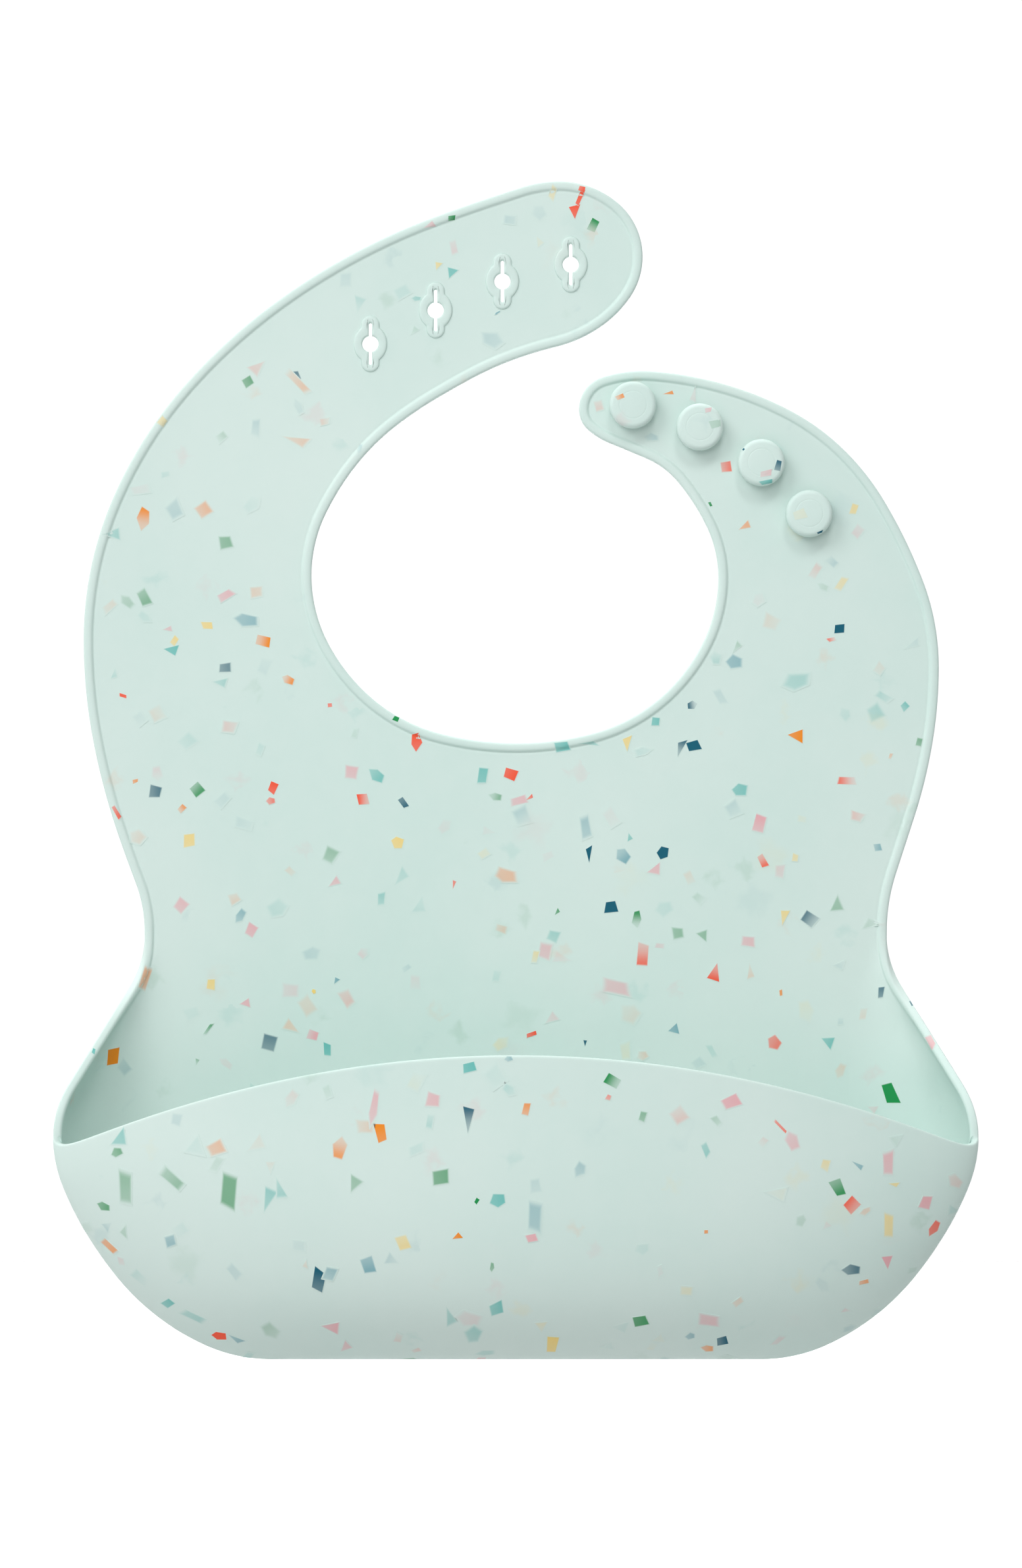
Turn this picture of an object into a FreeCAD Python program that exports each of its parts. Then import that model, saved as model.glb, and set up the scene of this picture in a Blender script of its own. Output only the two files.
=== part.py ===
import FreeCAD, Part
import Sketcher
import math
import os

# A moulded silicone bib: a flat beaded apron, two neck straps with keyholes and buttons, and a catch pocket.
#
# Millimetres. X runs to the right, Z up, and Y from the front of the bib to its back. The origin is the centre
# of the neck opening on the back face, and that whole face is the plane y = 0. The moulding is divided where it
# bends and where a feature begins: each bend is a short flexible strip between two stiffer pieces.

V = FreeCAD.Vector
doc = FreeCAD.newDocument("silicone_bib")

DIMENSIONS = {
    "sheet_thick": 2.0,
    "bead_width": 2.4,
    "bead_rise": 0.8,
    "waist_half_width": 95.0,
    "waist_z": -92.6,
    "strap_fold_z": -6.0,
    "strap_flex": 16.0,
    "apron_fold_z": -65.0,
    "apron_flex": 22.0,
    "hole_tab_angle": 137.0,
    "hole_tab_flex": 14.0,
    "button_tab_angle": 30.4,
    "button_tab_flex": 5.4,
    "tip_gap_tilt": 20.0,
    "tip_gap_offset": 40.2,
    "keyhole_radius": 2.1,
    "slit_width": 0.9,
    "slit_length": 10.8,
    "rim_radius": 4.5,
    "rim_lobe_width": 4.7,
    "rim_length": 14.4,
    "rim_rise": 0.7,
    "head_radius": 6.0,
    "head_height": 2.8,
    "head_round": 1.1,
    "head_under_round": 0.5,
    "stem_radius": 2.0,
    "stem_height": 2.2,
    "corner_half_width": 115.3,
    "corner_z": -143.0,
    "corner_depth": 30.0,
    "bottom_z": -200.0,
    "bottom_half_width": 62.0,
    "keel_depth": 20.0,
    "crease_half_width": 85.0,
    "crease_bottom_half_width": 48.0,
    "crease_bottom_z": -185.0,
    "lip_depth": 46.0,
    "lip_peak_z": -122.0,
    "lip_drop": 25.0,
    "corner_curl": 4.0,
    "lip_bead_height": 2.6,
    "lip_bead_extra": 0.35,
    "chip_depth": 0.6,
}

cells = doc.addObject("Spreadsheet::Sheet", "dimensions")
for row, (alias, value) in enumerate(DIMENSIONS.items(), start=1):
    cells.set(f"A{row}", alias)
    cells.set(f"B{row}", str(value))
    cells.setAlias(f"B{row}", alias)
doc.recompute()


def cell(alias):
    return float(getattr(cells, alias))


# ---------------------------------------------------------------- outlines as chains of tangent arcs
# A node of an outline is its x and z and the heading of the outline there, in degrees from +X towards +Z.

WAIST = cell("waist_half_width")
WAIST_Z = cell("waist_z")

# From the left waist up the outer edge, round the hole strap's tip, down and round the neck, round the button
# strap's tip, and down to the right waist.
EDGE_NODES = [
    (-WAIST, WAIST_Z, 90),
    (-101.7, -68.0, 109),
    (-110.6, -18.0, 90),
    (-83.9, 48.1, 48),
    (-36.0, 83.7, 26),
    (-8.0, 94.7, 18.5),
    (11.0, 99.3, 0),
    (32.5, 80.0, -90),
    (21.5, 62.0, -146),
    (-1.7, 53.3, -159),
    (-21.3, 43.2, -149),
    (-39.7, 28.1, -130),
    (-52.3, -1.5, -90),
    (-36.5, -33.2, -40),
    (0.0, -44.4, 0),
    (36.5, -33.2, 40),
    (51.9, -2.0, 90),
    (41.5, 22.5, 130),
    (24.2, 32.3, 158),
    (16.2, 41.0, 90),
    (34.5, 50.7, -4),
    (70.5, 40.5, -28),
    (94.2, 17.7, -59),
    (108.3, -25.0, -90),
    (102.0, -63.5, -108),
    (WAIST, WAIST_Z, -90),
]

# The pocket's widest line, from the right waist along the open rim to the corner, then under the pocket.
WIDE_NODES = [
    (WAIST, WAIST_Z, -90),
    (105.0, -119.0, -60),
    (cell("corner_half_width"), cell("corner_z"), -90),
    (106.5, -167.0, -120),
    (90.4, -186.5, -138),
    (cell("bottom_half_width"), cell("bottom_z"), -180),
    (0.0, cell("bottom_z"), -180),
]

# Where the pocket's sides and floor leave the flat back panel, node for node beside the widest line.
CREASE_NODES = [
    (90.0, WAIST_Z, -95),
    (86.0, -119.0, -92),
    (cell("crease_half_width"), cell("corner_z"), -90),
    (80.0, -164.0, -112),
    (68.0, -178.0, -140),
    (cell("crease_bottom_half_width"), cell("crease_bottom_z"), -180),
    (0.0, cell("crease_bottom_z"), -180),
]


def direction(heading):
    return V(math.cos(math.radians(heading)), math.sin(math.radians(heading)), 0)


def left_of(along):
    return V(-along.y, along.x, 0)


def arc_pair(start, end):
    """The two tangent arcs, with equal legs, that join one node to the next."""
    here, there = V(start[0], start[1], 0), V(end[0], end[1], 0)
    leaving, arriving = direction(start[2]), direction(end[2])
    across = there - here
    advance = across.dot(leaving + arriving)
    spread = 2 * (1 - leaving.dot(arriving))
    if spread < 1e-9:
        leg = across.dot(across) / (2 * advance)
    else:
        leg = (math.sqrt(advance**2 + spread * across.dot(across)) - advance) / spread
    corner_1 = here + leaving * leg
    corner_2 = there - arriving * leg
    middle = (corner_1 + corner_2) * 0.5
    passing = (corner_2 - corner_1).normalize()
    return [(here, leaving, middle, passing), (middle, passing, there, arriving)]


def chain(nodes):
    arcs = []
    for start, end in zip(nodes, nodes[1:]):
        arcs.extend(arc_pair(start, end))
    return arcs


def shifted(arcs, distance):
    """The parallel chain, moved to the left of its heading."""
    result = []
    for here, leaving, there, arriving in arcs:
        moved_here = here + left_of(leaving) * distance
        moved_there = there + left_of(arriving) * distance
        result.append((moved_here, leaving, moved_there, arriving))
    return result


def reversed_chain(arcs):
    return [(there, arriving * -1, here, leaving * -1) for here, leaving, there, arriving in reversed(arcs)]


def mirrored(arcs):
    """The chain on the other side of x = 0, run the same way round as the original runs back."""
    flipped = []
    for here, leaving, there, arriving in arcs:
        flipped.append((V(-here.x, here.y, 0), V(-leaving.x, leaving.y, 0),
                        V(-there.x, there.y, 0), V(-arriving.x, arriving.y, 0)))
    return reversed_chain(flipped)


def straight(here, there):
    along = (there - here).normalize()
    return (here, along, there, along)


def on_arc(arc, part):
    """The point a fraction of the way along an arc, and the direction of travel there."""
    here, leaving, there, arriving = arc
    turn = math.atan2(leaving.x * arriving.y - leaving.y * arriving.x, leaving.dot(arriving))
    if abs(turn) < 1e-7:
        return here + (there - here) * part, leaving
    radius = (there - here).Length / (2 * math.sin(turn / 2))
    spin = FreeCAD.Rotation(V(0, 0, 1), math.degrees(turn * part))
    along = spin.multVec(leaving)
    return here + left_of(leaving) * radius - left_of(along) * radius, along


def on_chain(arcs, run):
    """The point at a node number, or between two nodes, of a chain with two arcs to each step."""
    place = min(max(run * 2, 0), len(arcs) - 1e-9)
    number = int(place)
    return on_arc(arcs[number], place - number)


def curve(arc):
    here, leaving, there, arriving = arc
    if left_of(leaving).dot(there - here) ** 2 < 1e-12:
        return Part.LineSegment(here, there)
    return Part.Arc(here, on_arc(arc, 0.5)[0], there)


# ---------------------------------------------------------------- document helpers
def plane_of(body, role):
    for feature in body.Origin.OriginFeatures:
        if feature.Role == role:
            return feature


def sketch_on(body, role, name, loops):
    """A sketch on one of the body's origin planes, holding closed loops of curves joined end to end."""
    sketch = body.newObject("Sketcher::SketchObject", name)
    sketch.AttachmentSupport = [(plane_of(body, role), "")]
    sketch.MapMode = "FlatFace"
    for loop in loops:
        for arc in loop:
            sketch.addGeometry(curve(arc), False)
    return sketch


ZONE_SPAN = 600
ZONE_DEEP = 40


def half_space(name, tilt, offset):
    """The stock on the upper side of a plane across the front view, tilted clockwise from level."""
    slab = doc.addObject("Part::Box", name + "_slab")
    slab.Length = ZONE_SPAN
    slab.Width = ZONE_DEEP
    slab.Height = ZONE_SPAN
    slab.Placement.Base = V(-ZONE_SPAN / 2, -ZONE_DEEP / 2, 0)
    slab.setExpression("Placement.Base.z", offset)
    turned = doc.addObject("Part::Compound", name)
    turned.Links = [slab]
    turned.Placement.Rotation = FreeCAD.Rotation(V(0, 1, 0), 1)
    turned.setExpression("Placement.Rotation.Angle", tilt)
    return turned


def common(name, stock, zones):
    """What is left of a stock inside every one of the zones."""
    for number, zone in enumerate(zones, start=1):
        kept = doc.addObject("Part::Common", f"{name}_{number}")
        kept.Base = stock
        kept.Tool = zone
        stock = kept
    return stock


def cut(name, stock, tool):
    result = doc.addObject("Part::Cut", name)
    result.Base = stock
    result.Tool = tool
    return result


def fuse(name, pieces):
    result = doc.addObject("Part::MultiFuse", name)
    result.Shapes = pieces
    return result


nodes = []


def sub_part(item, label):
    item.Label = label
    nodes.append(item)
    return item


# ---------------------------------------------------------------- the flat sheet and its edge bead, whole
edge = chain(EDGE_NODES)
crease = chain(CREASE_NODES)
wide = chain(WIDE_NODES)

step_in = straight(V(WAIST, WAIST_Z, 0), crease[0][0])
step_out = straight(V(-crease[0][0].x, WAIST_Z, 0), V(-WAIST, WAIST_Z, 0))

sheet = doc.addObject("PartDesign::Body", "whole_sheet")
sheet_loop = edge + [step_in] + crease + mirrored(crease) + [step_out]
sheet_sketch = sketch_on(sheet, "XZ_Plane", "sheet_outline", [sheet_loop])
sheet_pad = sheet.newObject("PartDesign::Pad", "sheet_pad")
sheet_pad.Profile = sheet_sketch
sheet_pad.setExpression("Length", "dimensions.sheet_thick")

bead_inner = reversed_chain(shifted(edge, -cell("bead_width")))
bead_loop = edge + [straight(edge[-1][2], bead_inner[0][0])]
bead_loop += bead_inner + [straight(bead_inner[-1][2], edge[0][0])]
bead = doc.addObject("PartDesign::Body", "whole_bead")
bead_sketch = sketch_on(bead, "XZ_Plane", "bead_outline", [bead_loop])
bead_sketch.setExpression("AttachmentOffset.Base.z", "dimensions.sheet_thick")
bead_pad = bead.newObject("PartDesign::Pad", "bead_pad")
bead_pad.Profile = bead_sketch
bead_pad.setExpression("Length", "dimensions.bead_rise")

# ---------------------------------------------------------------- where the moulding is divided
strap_top = "dimensions.strap_fold_z + dimensions.strap_flex / 2"
strap_foot = "dimensions.strap_fold_z - dimensions.strap_flex / 2"
apron_top = "dimensions.apron_fold_z + dimensions.apron_flex / 2"
apron_foot = "dimensions.apron_fold_z - dimensions.apron_flex / 2"
hole_half = "dimensions.hole_tab_flex / 2"
button_half = "dimensions.button_tab_flex / 2"
above_strap_flex = half_space("above_strap_flex", "0", strap_top)
above_chest_top = half_space("above_chest_top", "0", strap_foot)
below_strap_flex = half_space("below_strap_flex", "180", f"-({strap_top})")
below_chest_top = half_space("below_chest_top", "180", f"-({strap_foot})")
above_chest_foot = half_space("above_chest_foot", "0", apron_top)
below_chest_foot = half_space("below_chest_foot", "180", f"-({apron_top})")
above_lap = half_space("above_lap", "0", apron_foot)
below_lap_top = half_space("below_lap_top", "180", f"-({apron_foot})")
left_half = half_space("left_half", "-90", "0")
right_half = half_space("right_half", "90", "0")
before_hole_tab = half_space("before_hole_tab", "360 - dimensions.hole_tab_angle", hole_half)
from_hole_flex = half_space("from_hole_flex", "180 - dimensions.hole_tab_angle", f"-{hole_half}")
to_hole_flex = half_space("to_hole_flex", "360 - dimensions.hole_tab_angle", f"-{hole_half}")
past_hole_flex = half_space("past_hole_flex", "180 - dimensions.hole_tab_angle", hole_half)
before_button_tab = half_space("before_button_tab", "180 - dimensions.button_tab_angle", button_half)
from_button_flex = half_space("from_button_flex", "-dimensions.button_tab_angle", f"-{button_half}")
to_button_flex = half_space("to_button_flex", "180 - dimensions.button_tab_angle", f"-{button_half}")
past_button_flex = half_space("past_button_flex", "-dimensions.button_tab_angle", button_half)
hole_tip_side = half_space("hole_tip_side", "-dimensions.tip_gap_tilt", "dimensions.tip_gap_offset")
button_tip_side = half_space("button_tip_side", "180 - dimensions.tip_gap_tilt", "-dimensions.tip_gap_offset")

STIFF_ZONES = {
    "chest": [above_chest_foot, below_chest_top],
    "lap": [below_lap_top],
    "hole_strap": [above_strap_flex, before_hole_tab, left_half],
    "hole_tab": [past_hole_flex, hole_tip_side],
    "button_strap": [above_strap_flex, before_button_tab, right_half],
    "button_tab": [past_button_flex, button_tip_side, right_half],
}
FLEX_ZONES = {
    "apron_bend": [above_lap, below_chest_foot],
    "hole_shoulder_bend": [above_chest_top, below_strap_flex, left_half],
    "hole_tab_bend": [from_hole_flex, to_hole_flex, left_half],
    "button_shoulder_bend": [above_chest_top, below_strap_flex, right_half],
    "button_tab_bend": [from_button_flex, to_button_flex, right_half, above_strap_flex],
}

# ---------------------------------------------------------------- coloured chips set flush in the front face
# Each chip is a colour, the x and z of its middle, its length and width, and its turn in degrees.
CHIPS = {
    "hole_tab": [
        ("coral", 15.3, 92.4, 6.4, 2.2, 70),
        ("green", 19.9, 88.1, 2.4, 2.0, 60),
    ],
    "hole_strap": [
        ("green", -68.6, 47.9, 2.6, 2.2, 20),
        ("orange", -95.2, 13.2, 2.8, 3.0, 80),
        ("orange", -80.2, 14.9, 4.0, 3.0, 60),
    ],
    "chest": [
        ("navy", 83.3, -16.4, 3.2, 3.0, 0),
        ("orange", 72.2, -42.8, 3.4, 2.4, 5),
        ("navy", 45.6, -45.4, 3.2, 2.6, -15),
        ("teal", 40.9, -45.8, 4.6, 2.0, 60),
        ("coral", -25.8, -44.3, 2.6, 1.8, 90),
        ("coral", -1.6, -51.7, 3.2, 2.6, 30),
        ("orange", -64.6, -18.9, 3.0, 2.0, -20),
        ("navy", -74.4, -26.4, 3.2, 2.0, 30),
        ("teal", -88.0, -20.8, 3.0, 2.0, 10),
        ("orange", -58.2, -28.6, 2.0, 1.4, -30),
    ],
    "lap": [
        ("navy", 24.3, -87.0, 3.4, 2.6, 0),
        ("coral", 51.3, -104.0, 3.8, 2.4, 70),
        ("navy", -62.3, -121.0, 3.4, 2.6, 25),
        ("navy", 41.2, -117.6, 2.2, 1.6, -10),
    ],
}


def chip_outline(length, width):
    """A torn scrap of sheet: a long four-sided shape with no two sides quite parallel."""
    corners = [(-0.5, -0.38), (0.42, -0.5), (0.5, 0.34), (-0.36, 0.5)]
    return [V(length * x, width * z, 0) for x, z in corners]


def chip_tools(body_name):
    """Solid chips standing in the sheet's front face."""
    front = -cell("sheet_thick")
    chips = []
    for _, x, z, length, width, turn in CHIPS[body_name]:
        spin = FreeCAD.Rotation(V(0, 0, 1), turn)
        corners = [spin.multVec(corner) for corner in chip_outline(length, width)]
        points = [V(x + corner.x, front, z + corner.y) for corner in corners]
        face = Part.Face(Part.makePolygon(points + points[:1]))
        chips.append(face.extrude(V(0, cell("chip_depth"), 0)))
    group = doc.addObject("Part::Feature", body_name + "_chips")
    group.Shape = Part.Compound(chips)
    return group


# ---------------------------------------------------------------- keyholes: a raised rim round a slit hole
KEYHOLES = [(-37.2, 57.7), (-20.5, 66.3), (-3.4, 73.7), (14.1, 78.0)]


def post(name, radius, height, shift="0"):
    cylinder = doc.addObject("Part::Cylinder", name)
    cylinder.setExpression("Radius", radius)
    cylinder.setExpression("Height", height)
    cylinder.setExpression("Placement.Base.y", shift)
    return cylinder


def bar(name, width, length, height):
    box = doc.addObject("Part::Box", name)
    box.setExpression("Length", width)
    box.setExpression("Width", length)
    box.setExpression("Height", height)
    box.setExpression("Placement.Base.x", f"-({width}) / 2")
    box.setExpression("Placement.Base.y", f"-({length}) / 2")
    return box


def facing_front(name, item, x, z):
    """Stands a piece made along +Z in the front face, so that it points out of the front."""
    placed = doc.addObject("Part::Compound", name)
    placed.Links = [item]
    placed.Placement = FreeCAD.Placement(V(x, 0, z), FreeCAD.Rotation(V(1, 0, 0), 90))
    return placed


def make_keyhole(number, x, z):
    """One rim, and the plug of sheet that it takes the place of."""
    name = f"keyhole_{number}"
    deep = "dimensions.sheet_thick + dimensions.rim_rise"
    lobe = "dimensions.rim_lobe_width / 2"
    span = "dimensions.rim_length - dimensions.rim_lobe_width"
    plug = fuse(name + "_plug", [
        post(name + "_collar", "dimensions.rim_radius", deep),
        bar(name + "_lobes", "dimensions.rim_lobe_width", span, deep),
        post(name + "_top_lobe", lobe, deep, f"({span}) / 2"),
        post(name + "_foot_lobe", lobe, deep, f"-({span}) / 2"),
    ])
    opening = fuse(name + "_opening", [
        post(name + "_hole", "dimensions.keyhole_radius", deep),
        bar(name + "_slit", "dimensions.slit_width", "dimensions.slit_length", deep),
    ])
    rim = cut(name + "_rim_blank", plug, opening)
    sub_part(facing_front(name + "_rim", rim, x, z), f"keyhole_rim_{number}")
    return facing_front(name + "_cutter", plug, x, z)


cutters = []
for number, (x, z) in enumerate(KEYHOLES, start=1):
    cutters.append(make_keyhole(number, x, z))
keyhole_cutters = fuse("keyhole_cutters", cutters)

# ---------------------------------------------------------------- the sheet, its beads and its bends, in pieces
for body_name, zones in STIFF_ZONES.items():
    panel = common(body_name + "_sheet", sheet, zones)
    if body_name == "hole_tab":
        panel = cut("hole_tab_open", panel, keyhole_cutters)
    if body_name in CHIPS:
        chips = sub_part(chip_tools(body_name), body_name + "_chips")
        panel = cut(body_name + "_recessed", panel, chips)
    sub_part(panel, body_name + "_panel")
    sub_part(common(body_name + "_bead", bead, zones), body_name + "_bead")

for bend_name, zones in FLEX_ZONES.items():
    strip = common(bend_name + "_sheet", sheet, zones)
    strip_bead = common(bend_name + "_edge", bead, zones)
    sub_part(fuse(bend_name, [strip, strip_bead]), bend_name)

# ---------------------------------------------------------------- buttons: a crowned head on a short stem
BUTTONS = [(29.9, 41.8), (47.0, 36.2), (62.7, 27.1), (74.9, 14.1)]


def disc(body, name, radius, length, lift):
    """Pads a circle of the body's XY plane, starting at a height above it."""
    sketch = body.newObject("Sketcher::SketchObject", name + "_circle")
    sketch.AttachmentSupport = [(plane_of(body, "XY_Plane"), "")]
    sketch.MapMode = "FlatFace"
    sketch.addGeometry(Part.Circle(V(0, 0, 0), V(0, 0, 1), cell(radius)), False)
    sketch.addConstraint(Sketcher.Constraint("Coincident", 0, 3, -1, 1))
    sketch.addConstraint(Sketcher.Constraint("Radius", 0, cell(radius)))
    sketch.setExpression("Constraints[1]", "dimensions." + radius)
    sketch.setExpression("AttachmentOffset.Base.z", lift)
    pad = body.newObject("PartDesign::Pad", name)
    pad.Profile = sketch
    pad.setExpression("Length", "dimensions." + length)
    return pad


def rounded(body, name, base, height, radius):
    """Rounds the circular edges of the body's head that lie at a height."""
    doc.recompute()
    found = []
    for number, border in enumerate(base.Shape.Edges, start=1):
        level = all(abs(vertex.Z - height) < 0.01 for vertex in border.Vertexes)
        if level and abs(border.BoundBox.XLength - 2 * cell("head_radius")) < 0.01:
            found.append(f"Edge{number}")
    fillet = body.newObject("PartDesign::Fillet", name)
    fillet.Base = (base, found)
    fillet.setExpression("Radius", "dimensions." + radius)
    return fillet


def make_button(number, x, z):
    body = doc.addObject("PartDesign::Body", f"button_{number}_body")
    disc(body, f"stem_{number}", "stem_radius", "stem_height", "0")
    head = disc(body, f"head_{number}", "head_radius", "head_height", "dimensions.stem_height")
    neck = cell("stem_height")
    crowned = rounded(body, f"crown_{number}", head, neck + cell("head_height"), "head_round")
    rounded(body, f"underside_{number}", crowned, neck, "head_under_round")
    body.Placement = FreeCAD.Placement(V(x, -cell("sheet_thick"), z), FreeCAD.Rotation(V(1, 0, 0), 90))
    return body


for number, (x, z) in enumerate(BUTTONS, start=1):
    sub_part(make_button(number, x, z), f"button_{number}")


# ---------------------------------------------------------------- the catch pocket, a curved shell
def smooth(part):
    part = min(max(part, 0.0), 1.0)
    return part * part * (3 - 2 * part)


CORNER_NODE = 2
FLOOR_NODE = len(WIDE_NODES) - 2
MIDDLE_NODE = len(WIDE_NODES) - 1
THICK = cell("sheet_thick")


def side_depth(run):
    """How far in front of the back face the widest line lies."""
    if run < CORNER_NODE:
        return cell("corner_depth") * smooth(run / CORNER_NODE)
    below = smooth((run - CORNER_NODE) / (FLOOR_NODE - CORNER_NODE))
    return cell("corner_depth") + (cell("keel_depth") - cell("corner_depth")) * below


def gusset_point(run, part, inset):
    """A point of the side wall or floor: part 0 lies on the crease and part 1 on the widest line.

    Runs past the middle of the floor climb the left side.
    """
    if run > MIDDLE_NODE:
        right = gusset_point(2 * MIDDLE_NODE - run, part, inset)
        return V(-right.x, right.y, right.z)
    root, _ = on_chain(crease, run)
    rim, _ = on_chain(wide, run)
    outward = rim - root
    width = outward.Length
    depth = side_depth(run)
    knee = width * (0.5 + 0.5 * smooth(run))
    reach = 2 * part * (1 - part) * knee + part * part * width
    fall = part * part * depth
    reach_step = 2 * (1 - 2 * part) * knee + 2 * part * width
    fall_step = 2 * part * depth
    speed = math.hypot(reach_step, fall_step)
    reach -= inset * fall_step / speed
    fall += inset * reach_step / speed
    place = root + outward * (reach / width)
    return V(place.x, -fall, place.y)


def run_at(z):
    """The node number, from the corner down, at which the widest line has a given height."""
    low, high = float(CORNER_NODE), float(FLOOR_NODE)
    for _ in range(40):
        middle = (low + high) / 2
        if on_chain(wide, middle)[0].y > z:
            low = middle
        else:
            high = middle
    return low


CURL_POWER = 40
SIDE_POWER = 1.2
FOOT_POWER = 0.6
FOOT_FLATNESS = 4
FLOOR_INSET_POWER = 6


def front_point(across, down, inset):
    """A point of the front wall, from its left side (-90) to its right (90) and its lip (0) to its foot (90)."""
    share = math.sin(math.radians(across))
    fall = math.sin(math.radians(down))
    curl = cell("corner_curl") * (1 - math.sqrt(1 - share**CURL_POWER))
    lip = cell("lip_peak_z") - cell("lip_drop") * share**2 + curl
    z = lip + (cell("bottom_z") - lip) * fall
    run = run_at(z)
    half_width = on_chain(wide, run)[0].x - inset
    back = side_depth(run)
    bulge = max(math.cos(math.radians(across)), 0) ** SIDE_POWER * (1 - fall**FOOT_FLATNESS) ** FOOT_POWER
    depth = back + (cell("lip_depth") - inset - back) * bulge
    return V(share * half_width, -depth, z + inset * fall**FLOOR_INSET_POWER)


def surface(point, firsts, seconds):
    face = Part.BSplineSurface()
    face.interpolate([[point(first, second) for second in seconds] for first in firsts])
    return face


def wall(point, firsts, seconds, outer=0.0, inner=THICK):
    """A closed solid between the outer and the inner surface over a patch of the shell."""
    outside = surface(lambda a, b: point(a, b, outer), firsts, seconds)
    inside = surface(lambda a, b: point(a, b, inner), firsts, seconds)
    faces = [outside.toShape(), inside.toShape()]
    u0, u1, v0, v1 = outside.bounds()
    for at in (u0, u1):
        faces.append(Part.makeRuledSurface(outside.uIso(at).toShape(), inside.uIso(at).toShape()))
    for at in (v0, v1):
        faces.append(Part.makeRuledSurface(outside.vIso(at).toShape(), inside.vIso(at).toShape()))
    shell = Part.Shell([face.Faces[0] for face in faces])
    shell.sewShape()
    solid = Part.Solid(Part.Shell(shell.Faces))
    if solid.Volume < 0:
        solid.reverse()
    return solid


def steps(start, end, count):
    return [start + (end - start) * number / count for number in range(count + 1)]


def shell_part(label, shape):
    item = doc.addObject("Part::Feature", label)
    item.Shape = shape
    return sub_part(item, label)


def on_left(shape):
    return shape.mirror(V(0, 0, 0), V(1, 0, 0))


LIP_DOWN = math.degrees(math.asin(cell("lip_bead_height") / (cell("lip_peak_z") - cell("bottom_z"))))
LAST_DOWN = 88.8
LAST_ACROSS = 89.0
CHEEK_END = 4.4
RIM_PART = 0.93
RIM_START = 0.931
EXTRA = cell("lip_bead_extra")
parts = steps(0, 1, 8)
parts_to_rim = steps(0, RIM_PART, 8)
wing_runs = steps(0, CORNER_NODE, 16)
across_steps = steps(-LAST_ACROSS, LAST_ACROSS, 36)

wing = wall(gusset_point, wing_runs, parts_to_rim)
rim = wall(gusset_point, wing_runs, steps(RIM_START, 1, 2), -EXTRA, THICK + EXTRA)
cheek = wall(gusset_point, steps(CORNER_NODE, CHEEK_END, 12), parts)
shell_part("right_side_wall", wing)
shell_part("left_side_wall", on_left(wing))
shell_part("right_side_rim", rim)
shell_part("left_side_rim", on_left(rim))
shell_part("right_cheek", cheek)
shell_part("left_cheek", on_left(cheek))
shell_part("pocket_floor", wall(gusset_point, steps(CHEEK_END, 2 * MIDDLE_NODE - CHEEK_END, 16), parts))
shell_part("pocket_front", wall(front_point, across_steps, steps(LIP_DOWN, LAST_DOWN, 18)))
shell_part("pocket_lip", wall(front_point, across_steps, steps(0, LIP_DOWN, 2), -EXTRA, THICK + EXTRA))

# ---------------------------------------------------------------- check and write
doc.recompute()
faults = []
for item in doc.Objects:
    if "Invalid" in item.State or "Error" in item.State:
        faults.append(item.Label)
for item in nodes:
    if item.Shape.isNull() or not item.Shape.isValid() or not item.Shape.Solids:
        faults.append(item.Label)
if faults:
    raise RuntimeError("failed: " + ", ".join(faults))

os.makedirs("parts", exist_ok=True)
for item in nodes:
    item.Shape.exportStep(f"parts/{item.Label}.step")
    print(f"{item.Label:24s} {len(item.Shape.Solids):3d} solids {item.Shape.Volume:10.1f} mm3")
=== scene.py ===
import math
import random

import bmesh
import bpy
import numpy as np
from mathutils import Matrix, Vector
from mathutils.bvhtree import BVHTree
from mathutils.geometry import delaunay_2d_cdt


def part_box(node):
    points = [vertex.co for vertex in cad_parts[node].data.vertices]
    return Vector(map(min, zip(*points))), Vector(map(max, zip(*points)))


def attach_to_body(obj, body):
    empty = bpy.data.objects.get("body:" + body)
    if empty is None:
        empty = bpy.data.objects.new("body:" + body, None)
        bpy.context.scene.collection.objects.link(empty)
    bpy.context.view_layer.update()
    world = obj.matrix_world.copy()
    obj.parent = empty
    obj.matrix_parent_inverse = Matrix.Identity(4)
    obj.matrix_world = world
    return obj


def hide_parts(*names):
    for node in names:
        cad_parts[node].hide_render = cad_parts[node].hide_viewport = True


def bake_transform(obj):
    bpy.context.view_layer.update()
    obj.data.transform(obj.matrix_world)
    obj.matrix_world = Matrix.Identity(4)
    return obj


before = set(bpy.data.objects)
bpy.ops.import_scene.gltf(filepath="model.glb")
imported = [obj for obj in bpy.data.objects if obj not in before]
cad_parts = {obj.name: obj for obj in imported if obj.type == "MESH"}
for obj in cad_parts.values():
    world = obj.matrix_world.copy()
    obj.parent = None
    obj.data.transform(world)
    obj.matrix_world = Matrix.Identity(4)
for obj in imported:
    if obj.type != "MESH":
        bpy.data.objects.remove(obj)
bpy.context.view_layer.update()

# A moulded silicone bib. X runs to the right, Z up and Y from front to back, with the origin at the centre of
# the neck opening on the flat back face. Shapes are worked out in millimetres and scaled once, when a mesh is
# made. The lamps, the floor and the camera are placed in metres.

MM = 0.001
RANDOM = random.Random(7)


def in_mm(node):
    """Lowest and highest corner of a CAD node, in millimetres."""
    low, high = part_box(node)
    return [1000 * value for value in low], [1000 * value for value in high]


THICK = in_mm("chest_panel")[1][1] - in_mm("chest_panel")[0][1]
APRON_BEND = (in_mm("apron_bend")[0][2], in_mm("apron_bend")[1][2])
SHOULDER_BEND = (in_mm("hole_shoulder_bend")[0][2], in_mm("hole_shoulder_bend")[1][2])

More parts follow.
